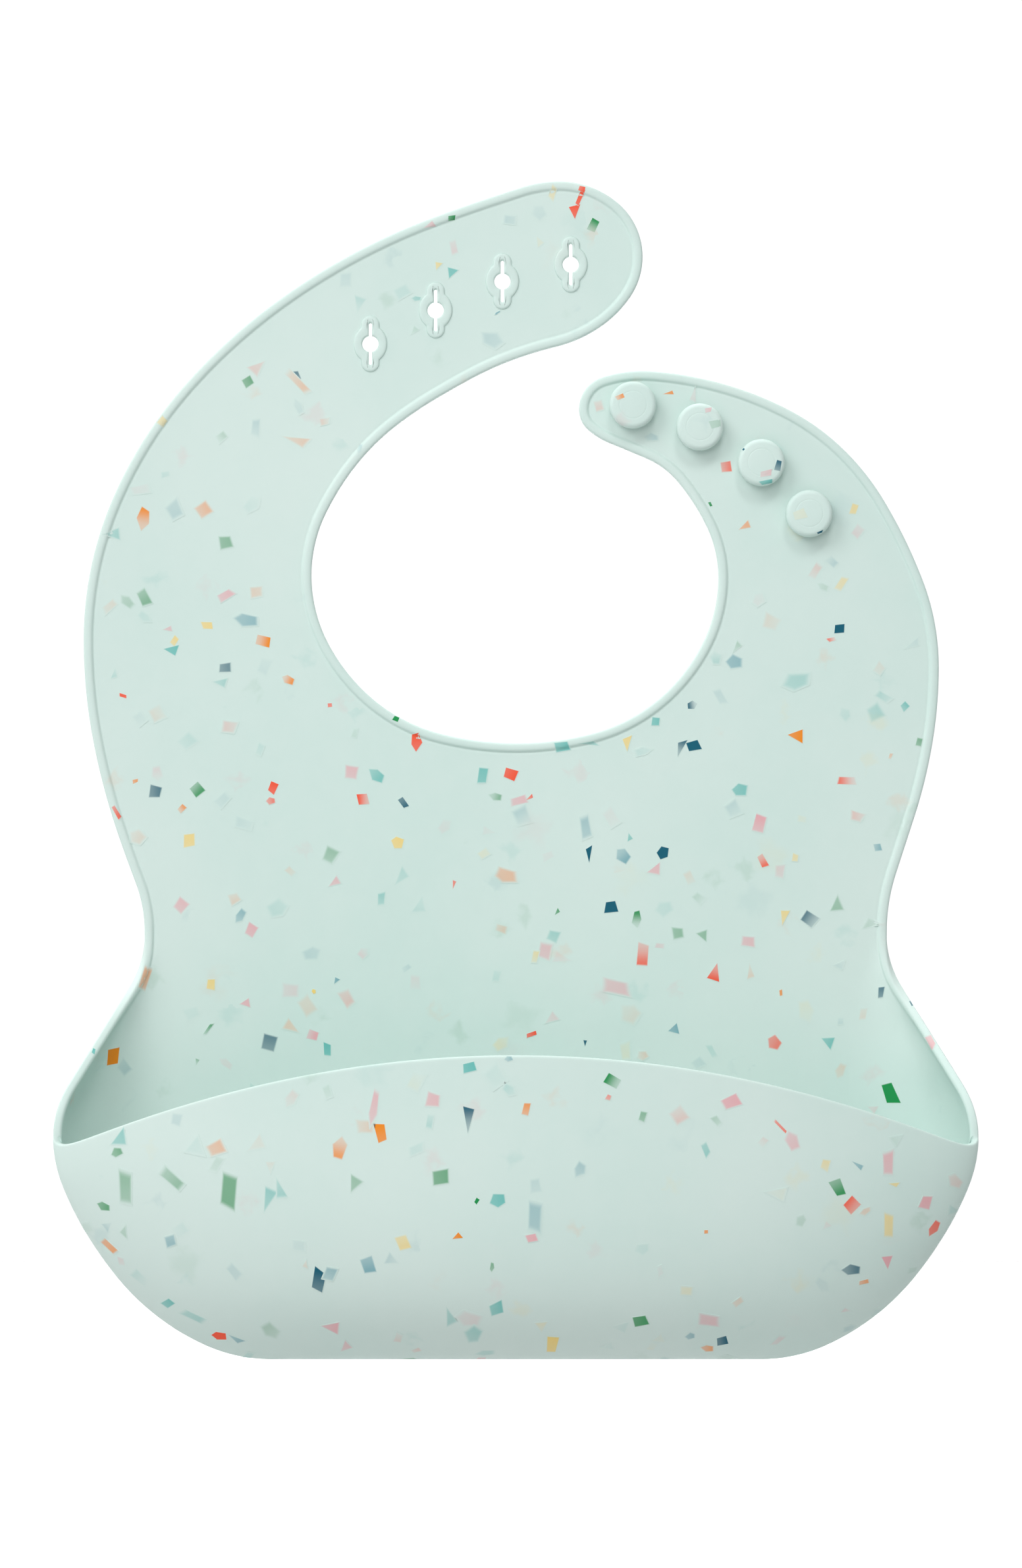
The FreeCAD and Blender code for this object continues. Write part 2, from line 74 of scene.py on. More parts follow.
# The pocket's driving sizes.
WAIST_HALF = 95.0
WAIST_Z = -92.6
CORNER_HALF = 115.9
CORNER_Z = -143.0
CORNER_DEPTH = 30.0
BOTTOM_Z = -200.0
BOTTOM_HALF = 62.0
KEEL_DEPTH = 20.0
LIP_DEPTH = 46.0
LIP_PEAK_Z = -122.0
LIP_DROP = 25.0
CORNER_CURL = 4.0
CURL_POWER = 40
BULGE_POWER = 0.6
# How much of the sheet's bead the lip has, and over how much of the first step past the waist the rest fades.
LIP_BEAD = 0.15
BEAD_FADE = 0.8

# Seams between pieces of skin lie in stiff stretches, away from every bend. The chest's are at these heights,
# and the straps' at these angles round the neck. The longer tab overhangs the shorter one: what lies more
# than TAB_LINE from the neck's centre, up a line that leans left by TAB_LEAN degrees, belongs to the longer.
CHEST_CUTS = (-49.0, -17.0)
HOLE_STRAP_CUT = 160.0
BUTTON_STRAP_CUT = 17.0
TAB_LEAN = 20.0
TAB_LINE = 40.2
# Half the height of each tab's bend.
HOLE_TAB_BEND_HALF = 7.0
BUTTON_TAB_BEND_HALF = 2.7

# ---------------------------------------------------------------- outlines as chains of tangent arcs
# A node is its x and z and the heading of the outline there, in degrees from +X towards +Z.
EDGE_NODES = [
    (-WAIST_HALF, WAIST_Z, 90),
    (-101.7, -68.0, 109),
    (-110.6, -18.0, 90),
    (-83.9, 48.1, 48),
    (-36.0, 83.7, 26),
    (-8.0, 94.7, 18.5),
    (11.0, 99.3, 0),
    (32.5, 80.0, -90),
    (21.5, 62.0, -146),
    (-1.7, 53.3, -159),
    (-21.3, 43.2, -149),
    (-39.7, 28.1, -130),
    (-52.3, -1.5, -90),
    (-36.5, -33.2, -40),
    (0.0, -44.4, 0),
    (36.5, -33.2, 40),
    (51.9, -2.0, 90),
    (41.5, 22.5, 130),
    (24.2, 32.3, 158),
    (16.2, 41.0, 90),
    (34.5, 50.7, -4),
    (70.5, 40.5, -28),
    (94.2, 17.7, -59),
    (108.3, -25.0, -90),
    (102.0, -63.5, -108),
    (WAIST_HALF, WAIST_Z, -90),
]
WIDE_NODES = [
    (WAIST_HALF, WAIST_Z, -90),
    (105.9, -119.0, -60),
    (CORNER_HALF, CORNER_Z, -90),
    (107.9, -167.4, -120),
    (92.2, -187.4, -139),
    (BOTTOM_HALF, BOTTOM_Z, -180),
    (0.0, BOTTOM_Z, -180),
]
CREASE_NODES = [
    (90.0, WAIST_Z, -95),
    (86.0, -119.0, -92),
    (85.0, CORNER_Z, -90),
    (80.0, -164.0, -112),
    (68.0, -178.0, -140),
    (48.0, -185.0, -180),
    (0.0, -185.0, -180),
]
CORNER_NODE = 2
FLOOR_NODE = len(WIDE_NODES) - 2
MIDDLE_NODE = len(WIDE_NODES) - 1


def direction(heading):
    return Vector((math.cos(math.radians(heading)), math.sin(math.radians(heading))))


def right_of(along):
    return Vector((along.y, -along.x))


def arc_pair(start, end):
    """The two tangent arcs, with equal legs, that join one node to the next."""
    here, there = Vector(start[:2]), Vector(end[:2])
    leaving, arriving = direction(start[2]), direction(end[2])
    across = there - here
    advance = across.dot(leaving + arriving)
    spread = 2 * (1 - leaving.dot(arriving))
    if spread < 1e-9:
        leg = across.dot(across) / (2 * advance)
    else:
        leg = (math.sqrt(advance**2 + spread * across.dot(across)) - advance) / spread
    corner_1 = here + leaving * leg
    corner_2 = there - arriving * leg
    middle = (corner_1 + corner_2) / 2
    passing = (corner_2 - corner_1).normalized()
    return [(here, leaving, middle, passing), (middle, passing, there, arriving)]


def chain(nodes):
    arcs = []
    for start, end in zip(nodes, nodes[1:]):
        arcs.extend(arc_pair(start, end))
    return arcs


def on_arc(arc, part):
    """The point a fraction of the way along an arc, and the heading there."""
    here, leaving, there, arriving = arc
    turn = math.atan2(leaving.x * arriving.y - leaving.y * arriving.x, leaving.dot(arriving))
    if abs(turn) < 1e-6:
        return here + (there - here) * part, leaving
    radius = (there - here).length / (2 * math.sin(turn / 2))
    cos, sin = math.cos(turn * part), math.sin(turn * part)
    along = Vector((leaving.x * cos - leaving.y * sin, leaving.x * sin + leaving.y * cos))
    return here - right_of(leaving) * radius + right_of(along) * radius, along


def on_chain(arcs, run):
    """The point at a node number, or between two nodes, of a chain with two arcs to each step."""
    place = min(max(run * 2, 0), len(arcs) - 1e-9)
    number = int(place)
    return on_arc(arcs[number], place - number)


EDGE = chain(EDGE_NODES)
WIDE = chain(WIDE_NODES)
CREASE = chain(CREASE_NODES)

# ---------------------------------------------------------------- the moulded edge, across from edge to sheet
# At each distance in from the edge: how far the front of a beaded edge, the front of a plain edge, and the
# back of either, lie in front of the sheet's back face.
ACROSS = [0, 0.06, 0.22, 0.48, 0.8, 1.15, 1.5, 1.8, 2.05, 2.22, 2.36, 2.5, 2.68, 2.85, 3.05, 3.4]
BEADED = [1.85, 2.15, 2.36, 2.49, 2.56, 2.59, 2.58, 2.53, 2.41, 2.23, 2.06, 1.97, 1.95, 1.98, 2.0, 2.0]
PLAIN = [1.25, 1.52, 1.79, 1.98, 2.08, 2.12, 2.12, 2.1, 2.07, 2.05, 2.03, 2.01, 2.0, 2.0, 2.0, 2.0]
BACKED = [0.4, 0.2, 0.07, 0.01] + [0.0] * 12


def front_of(distance, bead):
    """Depth of the front face at a distance from the edge, for a bead between plain (0) and full (1)."""
    full = np.interp(distance, ACROSS, BEADED)
    plain = np.interp(distance, ACROSS, PLAIN)
    return plain + (full - plain) * bead


def back_of(distance):
    return np.interp(distance, ACROSS, BACKED)


# ---------------------------------------------------------------- meshes
def mesh_object(name, points, faces, crease_angle=50):
    """A smooth-shaded object from points in millimetres, which remembers where each point is at rest."""
    mesh = bpy.data.meshes.new(name)
    mesh.from_pydata((np.asarray(points) * MM).tolist(), [], faces)
    bm = bmesh.new()
    bm.from_mesh(mesh)
    bmesh.ops.recalc_face_normals(bm, faces=bm.faces)
    bm.to_mesh(mesh)
    bm.free()
    mesh.shade_smooth()
    mesh.set_sharp_from_angle(angle=math.radians(crease_angle))
    rest = mesh.attributes.new("rest", "FLOAT_VECTOR", "POINT")
    place = np.empty(len(mesh.vertices) * 3, np.float32)
    mesh.vertices.foreach_get("co", place)
    rest.data.foreach_set("vector", place)
    item = bpy.data.objects.new(name, mesh)
    bpy.context.collection.objects.link(item)
    return item


def skin(name, points, normals, fronts, backs, faces):
    """A closed skin: the plan's faces at the back depth and at the front depth, and walls round the rim."""
    used = sorted({index for face in faces for index in face})
    number = {index: place for place, index in enumerate(used)}
    count = len(used)
    back = points[used] - normals[used] * backs[used, None]
    front = points[used] - normals[used] * fronts[used, None]
    sides = {}
    for face in faces:
        for a, b in zip(face, face[1:] + face[:1]):
            sides[(number[a], number[b])] = True
    closed = []
    for face in faces:
        places = [number[index] for index in face]
        closed.append(tuple(places))
        closed.append(tuple(count + place for place in reversed(places)))
    for a, b in sides:
        if (b, a) not in sides:
            closed.append((b, a, count + a, count + b))
    return mesh_object(name, np.vstack([back, front]), closed)


# ---------------------------------------------------------------- the flat sheet, as plan points and faces
def edge_samples(spacing=1.25):
    """Points and headings along the whole beaded edge."""
    samples = []
    for arc in EDGE:
        steps = max(2, math.ceil((arc[2] - arc[0]).length / spacing))
        samples.extend(on_arc(arc, step / steps) for step in range(steps))
    samples.append(on_arc(EDGE[-1], 1.0))
    return samples


def rim_radius(angle, inset):
    """The outline of a keyhole's raised rim: an oval collar crossed by an upright lobe, crisply joined."""
    half_across, half_up = 4.3 - inset, 4.85 - inset
    half_width = 2.35 - inset
    straight = 4.85
    crispness = 60
    cos, sin = abs(math.cos(angle)), abs(math.sin(angle))
    collar = 1 / math.hypot(cos / half_across, sin / half_up)
    lobe = half_width / max(cos, 1e-6)
    if lobe * sin > straight:
        lobe = straight * sin + math.sqrt(max(half_width**2 - (straight * cos) ** 2, 0))
    return (collar**crispness + lobe**crispness) ** (1 / crispness)


def slit_hole(margin):
    """The outline of the slit hole, widened by a margin, as points about its centre."""
    hole, half_slit, slit_end = 2.1 + margin, 0.45 + margin, 5.4 + margin
    height = slit_end - half_slit
    meeting = math.acos(half_slit / hole)
    quarter = []
    for step in range(5):
        angle = math.radians(90 - 22.5 * step)
        quarter.append((half_slit * math.cos(angle), height + half_slit * math.sin(angle)))
    for step in range(1, 5):
        quarter.append((half_slit, height + (hole * math.sin(meeting) - height) * step / 5))
    for step in range(27):
        angle = meeting * (1 - step / 26)
        quarter.append((hole * math.cos(angle), hole * math.sin(angle)))
    right = quarter + [(x, -z) for x, z in reversed(quarter[:-1])]
    return right + [(-x, z) for x, z in reversed(right[1:-1])]


def rim_outline(inset):
    """The rim's outline, drawn in by an inset, point for point with the slit hole's."""
    outline = []
    for x, z in slit_hole(0.0):
        angle = math.atan2(z, x)
        radius = rim_radius(angle, inset)
        outline.append((radius * math.cos(angle), radius * math.sin(angle)))
    return outline


def centre_of(node):
    low, high = in_mm(node)
    return (low[0] + high[0]) / 2, (low[2] + high[2]) / 2


KEYHOLES = [centre_of(f"keyhole_rim_{number}") for number in range(1, 5)]
BUTTONS = [centre_of(f"button_{number}") for number in range(1, 5)]


def inside(points, loop):
    """Which of the points lie inside a closed loop."""
    result = np.zeros(len(points), bool)
    for (x0, z0), (x1, z1) in zip(loop, np.roll(loop, -1, axis=0)):
        crossing = (z0 > points[:, 1]) != (z1 > points[:, 1])
        reach = (x1 - x0) * (points[:, 1] - z0) / (z1 - z0 if z1 != z0 else 1e-12) + x0
        result ^= crossing & (points[:, 0] < reach)
    return result


def smooth(part):
    part = np.clip(part, 0.0, 1.0)
    return part * part * (3 - 2 * part)


def front_fall(share):
    """How far down each row of the front wall lies, from 0 at the lip to 1 at the foot, at a share across."""
    lip = lip_height(share)
    near = [distance / (lip - BOTTOM_Z) for distance in ACROSS]
    start = math.asin(near[-1])
    rows = 34
    return near + [math.sin(start + (math.pi / 2 - start) * row / rows) for row in range(1, rows + 1)]


def lip_height(share):
    curl = CORNER_CURL * (1 - math.sqrt(max(1 - share**CURL_POWER, 0)))
    return LIP_PEAK_Z - LIP_DROP * share**2 + curl


def run_at(z):
    """The node number, from the corner down, at which the widest line has a given height."""
    low, high = float(CORNER_NODE), float(FLOOR_NODE)
    for _ in range(50):
        middle = (low + high) / 2
        if on_chain(WIDE, middle)[0].y > z:
            low = middle
        else:
            high = middle
    return low


# The pocket's front wall is built in columns at these shares of the half width, from right to left, and its
# sides and floor in rows at these runs along the widest line, which meet the front wall's edges.
SHARE_STEPS = 110
WING_STEPS = 44
SHARES = [math.sin(math.radians(90 - 180 * step / SHARE_STEPS)) for step in range(SHARE_STEPS + 1)]
WING_RUNS = [CORNER_NODE * step / WING_STEPS for step in range(WING_STEPS)]
CHEEK_RUNS = [run_at(CORNER_Z + (BOTTOM_Z - CORNER_Z) * fall) for fall in front_fall(1.0)[:-1]]
FLOOR_RUNS = [FLOOR_NODE + 1 - share for share in SHARES[:SHARE_STEPS // 2 + 1]]
RUNS = WING_RUNS + CHEEK_RUNS + FLOOR_RUNS
RUNS = RUNS + [2 * MIDDLE_NODE - run for run in reversed(RUNS[:-1])]


def mirror_run(run):
    return (2 * MIDDLE_NODE - run, -1) if run > MIDDLE_NODE else (run, 1)


def crease_at(run):
    run, side = mirror_run(run)
    place, _ = on_chain(CREASE, run)
    return Vector((side * place.x, place.y))


def side_depth(run):
    """How far in front of the back face the widest line lies."""
    if run < CORNER_NODE:
        return CORNER_DEPTH * float(smooth(run / CORNER_NODE))
    below = float(smooth((run - CORNER_NODE) / (FLOOR_NODE - CORNER_NODE)))
    return CORNER_DEPTH + (KEEL_DEPTH - CORNER_DEPTH) * below


def gusset_row(run, inner_columns=10):
    """Points across the side wall or floor, from the widest line to the crease, at set distances along it."""
    run, side = mirror_run(run)
    root, _ = on_chain(CREASE, run)
    rim, _ = on_chain(WIDE, run)
    outward = rim - root
    width = outward.length
    depth = side_depth(run)
    knee = width * (0.5 + 0.5 * float(smooth(run)))
    part = np.linspace(1, 0, 241)
    reach = 2 * part * (1 - part) * knee + part * part * width
    fall = part * part * depth
    travelled = np.concatenate([[0], np.cumsum(np.hypot(np.diff(reach), np.diff(fall)))])
    length = travelled[-1]
    wanted = ACROSS + [ACROSS[-1] + (length - ACROSS[-1]) * step / inner_columns
                       for step in range(1, inner_columns + 1)]
    reach = np.interp(wanted, travelled, reach)
    fall = np.interp(wanted, travelled, fall)
    row = []
    for out, down in zip(reach, fall):
        place = root + outward * (out / width)
        row.append((side * place.x, -down, place.y))
    return row


def front_column(share):
    """Points down the front wall, from the lip to the foot, at a share of the half width."""
    column = []
    lip = lip_height(abs(share))
    for fall in front_fall(abs(share)):
        z = lip + (BOTTOM_Z - lip) * fall
        run = run_at(z)
        back = side_depth(run)
        bulge = max(1 - share**2, 0) ** BULGE_POWER * max(1 - fall**4, 0) ** BULGE_POWER
        column.append((share * on_chain(WIDE, run)[0].x, -back - (LIP_DEPTH - back) * bulge, z))
    return column


def to_border(points, border, amounts):
    """Each point's distance to an open border line, and the amount set at the nearest place on it."""
    distance = np.full(len(points), np.inf)
    amount = np.zeros(len(points))
    for here, there, low, high in zip(border, border[1:], amounts, amounts[1:]):
        along = there - here
        part = np.clip((points - here) @ along / (along @ along), 0, 1)
        gap = np.linalg.norm(points - here - part[:, None] * along, axis=1)
        nearer = gap < distance
        distance[nearer] = gap[nearer]
        amount[nearer] = low + (high - low) * part[nearer]
    return distance, amount


def make_pocket():
    """The pocket's shell, from one waist round under the floor to the other, and across the front."""
    rows = [gusset_row(run) for run in RUNS]
    columns = [front_column(share) for share in SHARES]
    bm = bmesh.new()
    for grid in (rows, columns):
        placed = [[bm.verts.new(point) for point in line] for line in grid]
        for line, following in zip(placed, placed[1:]):
            for a, b, c, d in zip(line, line[1:], following[1:], following):
                bm.faces.new((a, b, c, d))
    bmesh.ops.remove_doubles(bm, verts=bm.verts, dist=0.004)
    bmesh.ops.dissolve_degenerate(bm, edges=bm.edges, dist=0.001)
    bmesh.ops.recalc_face_normals(bm, faces=bm.faces)
    bm.verts.index_update()
    bm.normal_update()
    points = np.array([vertex.co[:] for vertex in bm.verts])
    normals = np.array([vertex.normal[:] for vertex in bm.verts])
    faces = [[vertex.index for vertex in face.verts] for face in bm.faces]
    bm.free()
    flat = np.abs(points[:, 1]) < 1e-4
    if normals[flat, 1].mean() < 0:
        normals = -normals
        faces = [face[::-1] for face in faces]
    normals[flat] = (0, 1, 0)
    # The sheet's full bead runs on past each waist, and fades to the slight one that edges the lip.
    right_wing = []
    for run, row in zip(RUNS, rows):
        if run < CORNER_NODE:
            right_wing.append((row[0], 1 - (1 - LIP_BEAD) * float(smooth(run / BEAD_FADE))))
    lip = [(column[0], LIP_BEAD) for column in columns]
    left_wing = [((-x, y, z), bead) for (x, y, z), bead in reversed(right_wing)]
    border = right_wing + lip + left_wing
    distance, bead = to_border(points, np.array([point for point, _ in border]), [bead for _, bead in border])
    return points, normals, front_of(distance, bead), back_of(distance), faces


def make_sheet_plan(spacing=2.2):
    """Plan points of the flat sheet with their front and back depths, and the plan's faces."""
    samples = edge_samples()
    rings = [[point + right_of(along) * distance for point, along in samples] for distance in ACROSS]
    inner = [tuple(point) for point in rings[-1]]
    crease = [tuple(crease_at(run)) for run in RUNS]
    border = np.array(inner + crease)
    holes = [np.array([(x + px, z + pz) for px, pz in rim_outline(0.0)]) for x, z in KEYHOLES]
    low, high = border.min(axis=0), border.max(axis=0)
    # A grid of near-equal triangles fills the middle, and keeps a little clear of the borders' own points.
    row_height, clearance = 0.87 * spacing, 0.45 * spacing
    grid = []
    for row, z in enumerate(np.arange(low[1], high[1], row_height)):
        for x in np.arange(low[0] + spacing / 2 * (row % 2), high[0], spacing):
            grid.append((x, z))
    grid = np.array(grid)
    keep = inside(grid, border)
    for hole in holes:
        keep &= ~inside(grid, hole)
    grid = grid[keep]
    loops = np.vstack([border] + holes)
    nearest = np.full(len(grid), np.inf)
    for point in loops:
        nearest = np.minimum(nearest, np.hypot(grid[:, 0] - point[0], grid[:, 1] - point[1]))
    grid = grid[nearest > clearance]
    plan = np.vstack([loops, grid])
    edges = []
    start = 0
    for loop in [border] + holes:
        count = len(loop)
        edges.extend((start + step, start + (step + 1) % count) for step in range(count))
        start += count
    same_place = 1e-5
    result = delaunay_2d_cdt([Vector(point) for point in plan], edges, [], 0, same_place)
    places = np.array([tuple(point) for point in result[0]])
    triangles = np.array(result[2])
    middles = places[triangles].mean(axis=1)
    keep = inside(middles, border)
    for hole in holes:
        keep &= ~inside(middles, hole)
    faces = [list(map(int, face)) for face in triangles[keep]]
    back_to_new = {}
    for new, originals in enumerate(result[3]):
        for original in originals:
            back_to_new[original] = new
    points = [(x, 0.0, z) for x, z in places]
    fronts = [THICK] * len(points)
    backs = [0.0] * len(points)
    ring_index = []
    for number, distance in enumerate(ACROSS[:-1]):
        ring_index.append(list(range(len(points), len(points) + len(samples))))
        points.extend((point.x, 0.0, point.y) for point in rings[number])
        fronts.extend([BEADED[number]] * len(samples))
        backs.extend([BACKED[number]] * len(samples))
    ring_index.append([back_to_new[step] for step in range(len(samples))])
    for outer, following in zip(ring_index, ring_index[1:]):
        for step in range(len(samples) - 1):
            faces.append([outer[step], outer[step + 1], following[step + 1], following[step]])
    normals = np.tile((0.0, 1.0, 0.0), (len(points), 1))
    return np.array(points), normals, np.array(fronts), np.array(backs), oriented(faces, points)


def oriented(faces, points):
    """Turns every plan face the same way round."""
    result = []
    for face in faces:
        area = 0.0
        for a, b in zip(face, face[1:] + face[:1]):
            area += points[a][0] * points[b][2] - points[b][0] * points[a][2]
        result.append(face if area > 0 else face[::-1])
    return result


def region_of(x, z):
    """The piece of skin that a place on the flat sheet belongs to."""
    if z < CHEST_CUTS[0]:
        return "apron_skin"
    if z < CHEST_CUTS[1]:
        return "chest_skin"
    angle = math.degrees(math.atan2(z, x)) % 360
    if x < 0 and angle > HOLE_STRAP_CUT:
        return "hole_strap_skin"
    if x > 0 and (angle < BUTTON_STRAP_CUT or angle > 270):
        return "button_strap_skin"
    lean = math.radians(TAB_LEAN)
    if x < 0 or z * math.cos(lean) - x * math.sin(lean) > TAB_LINE:
        return "hole_tab_skin"
    return "button_tab_skin"


# Each bending skin's joint, and half the height of its bend, measured towards the part that folds.
SHOULDER_BEND_HALF = (SHOULDER_BEND[1] - SHOULDER_BEND[0]) / 2
FOLDS = {
    "apron_skin": ("apron_fold", (APRON_BEND[0] - APRON_BEND[1]) / 2),
    "hole_strap_skin": ("hole_shoulder_fold", SHOULDER_BEND_HALF),
    "hole_tab_skin": ("hole_tab_fold", HOLE_TAB_BEND_HALF),
    "button_strap_skin": ("button_shoulder_fold", SHOULDER_BEND_HALF),
    "button_tab_skin": ("button_tab_fold", BUTTON_TAB_BEND_HALF),
}
RIDES = {"chest_skin": "chest", "pocket_shell": "lap"}


def attach(item, region):
    """Parents a piece of skin, or what is set in it, to the one body its region rides with; any other piece
    only has its placement baked into its points.
    """
    if region in RIDES:
        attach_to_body(item, RIDES[region])
        return
    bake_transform(item)


# ---------------------------------------------------------------- build the skins
plan = make_sheet_plan()
plan_middles = [sum((Vector(plan[0][index]) for index in face), Vector()) / len(face) for face in plan[4]]
plan_regions = [region_of(middle.x, middle.z) for middle in plan_middles]

skins = {}
for region in ("chest_skin", *FOLDS):
    chosen = [face for face, place in zip(plan[4], plan_regions) if place == region]
    skins[region] = skin(region, *plan[:4], chosen)
skins["pocket_shell"] = skin("pocket_shell", *make_pocket())

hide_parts("apron_bend", "lap_panel", "lap_bead")
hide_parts("chest_panel", "chest_bead")
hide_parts("hole_shoulder_bend", "hole_strap_panel", "hole_strap_bead")
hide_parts("hole_tab_bend", "hole_tab_panel", "hole_tab_bead")
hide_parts("button_shoulder_bend", "button_strap_panel", "button_strap_bead")
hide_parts("button_tab_bend", "button_tab_panel", "button_tab_bead")
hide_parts("left_side_wall", "right_side_wall", "left_side_rim", "right_side_rim",
            "left_cheek", "right_cheek", "pocket_floor", "pocket_front", "pocket_lip")


# ---------------------------------------------------------------- keyhole rims
def make_keyhole_rim(number, x, z):
    """A raised rim with a softly rounded front, standing round its slit hole through the full thickness."""
    crest = 2.5
    # From the slit hole's edge outwards: an outline, and how far its front and back lie from the back face.
    rings = [(slit_hole(0.0), 2.2, 0.2), (slit_hole(0.06), 2.33, 0.08), (slit_hole(0.2), 2.44, 0.0),
             (slit_hole(0.45), crest, 0.0)]
    for inset, front in ((0.9, crest), (0.6, 2.49), (0.38, 2.45), (0.2, 2.36), (0.08, 2.22), (0.0, 1.95)):
        rings.append((rim_outline(inset), front, 0.0))
    count = len(rings[0][0])
    points = [(x + px, 0.0, z + pz) for loop, _, _ in rings for px, pz in loop]
    fronts = np.repeat([front for _, front, _ in rings], count)
    backs = np.repeat([back for _, _, back in rings], count)
    faces = []
    for ring in range(len(rings) - 1):
        for step in range(count):
            following = (step + 1) % count
            faces.append([ring * count + step, ring * count + following,
                          (ring + 1) * count + following, (ring + 1) * count + step])
    normals = np.tile((0.0, 1.0, 0.0), (len(points), 1))
    rim = skin(f"keyhole_rim_{number}_moulded", np.array(points), normals, fronts, backs, faces)
    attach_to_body(rim, "hole_tab")
    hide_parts(f"keyhole_rim_{number}")
    return rim


rims = [make_keyhole_rim(number, x, z) for number, (x, z) in enumerate(KEYHOLES, start=1)]


# ---------------------------------------------------------------- buttons
def button_profile():
    """Radius and height above the sheet's front, from inside the sheet along the stem and over the head."""
    stem, flare, rooted = 2.0, 0.5, 0.4
    head, neck, height = 6.0, 2.2, 5.0
    round_front, round_under = 1.25, 0.6
    dome_rise = 0.15
    shoulder = height - dome_rise
    line = [(0.0, -rooted), (stem + flare, -rooted), (stem + flare, 0.0)]
    for step in range(1, 5):
        angle = math.radians(90 * step / 4)
        line.append((stem + flare * (1 - math.sin(angle)), flare * (1 - math.cos(angle))))
    line.append((stem, neck))
    for step in range(7):
        angle = math.radians(90 * step / 6)
        line.append((head - round_under * (1 - math.sin(angle)), neck + round_under * (1 - math.cos(angle))))
    for step in range(11):
        angle = math.radians(90 * step / 10)
        inward, down = 1 - math.cos(angle), 1 - math.sin(angle)
        line.append((head - round_front * inward, shoulder - round_front * down))
    crown = head - round_front
    ring_radius, ring_half, ring_deep = 3.5, 0.16, 0.045
    for radius in (4.4, 4.0, 3.76, 3.66, 3.58, 3.5, 3.42, 3.34, 3.24, 3.0, 2.4, 1.6, 0.8, 0.0):
        dome = dome_rise * (1 - (radius / crown) ** 2)
        groove = ring_deep * math.exp(-((radius - ring_radius) / ring_half * 1.5) ** 2)
        line.append((radius, shoulder + dome - groove))
    return line


def make_button(number, x, z, body, segments=72):
    profile = button_profile()
    points = []
    for radius, depth in profile:
        for step in range(segments):
            angle = 2 * math.pi * step / segments
            points.append((x + radius * math.cos(angle), -THICK - depth, z + radius * math.sin(angle)))
    faces = []
    for ring in range(len(profile) - 1):
        for step in range(segments):
            following = (step + 1) % segments
            faces.append((ring * segments + step, ring * segments + following,
                          (ring + 1) * segments + following, (ring + 1) * segments + step))
    button = mesh_object(f"button_{number}_moulded", points, faces, crease_angle=40)
    bm = bmesh.new()
    bm.from_mesh(button.data)
    bmesh.ops.remove_doubles(bm, verts=bm.verts, dist=1e-7)
    bmesh.ops.recalc_face_normals(bm, faces=bm.faces)
    bm.to_mesh(button.data)
    bm.free()
    button.data.set_sharp_from_angle(angle=math.radians(40))
    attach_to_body(button, body)
    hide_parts(f"button_{number}")
    return button


BUTTON_BODIES = ("button_tab", "button_tab", "button_strap", "button_strap")
buttons = []
for number, ((x, z), body) in enumerate(zip(BUTTONS, BUTTON_BODIES), start=1):
    buttons.append(make_button(number, x, z, body))


# ---------------------------------------------------------------- coloured chips
COLOURS = {
    "coral": (0.93, 0.105, 0.048),
    "orange": (0.90, 0.27, 0.012),
    "yellow": (0.90, 0.68, 0.22),
    "green": (0.010, 0.29, 0.075),
    "teal": (0.10, 0.50, 0.46),
    "navy": (0.003, 0.115, 0.18),
    "blue": (0.12, 0.36, 0.43),
    "pink": (0.84, 0.33, 0.38),
}
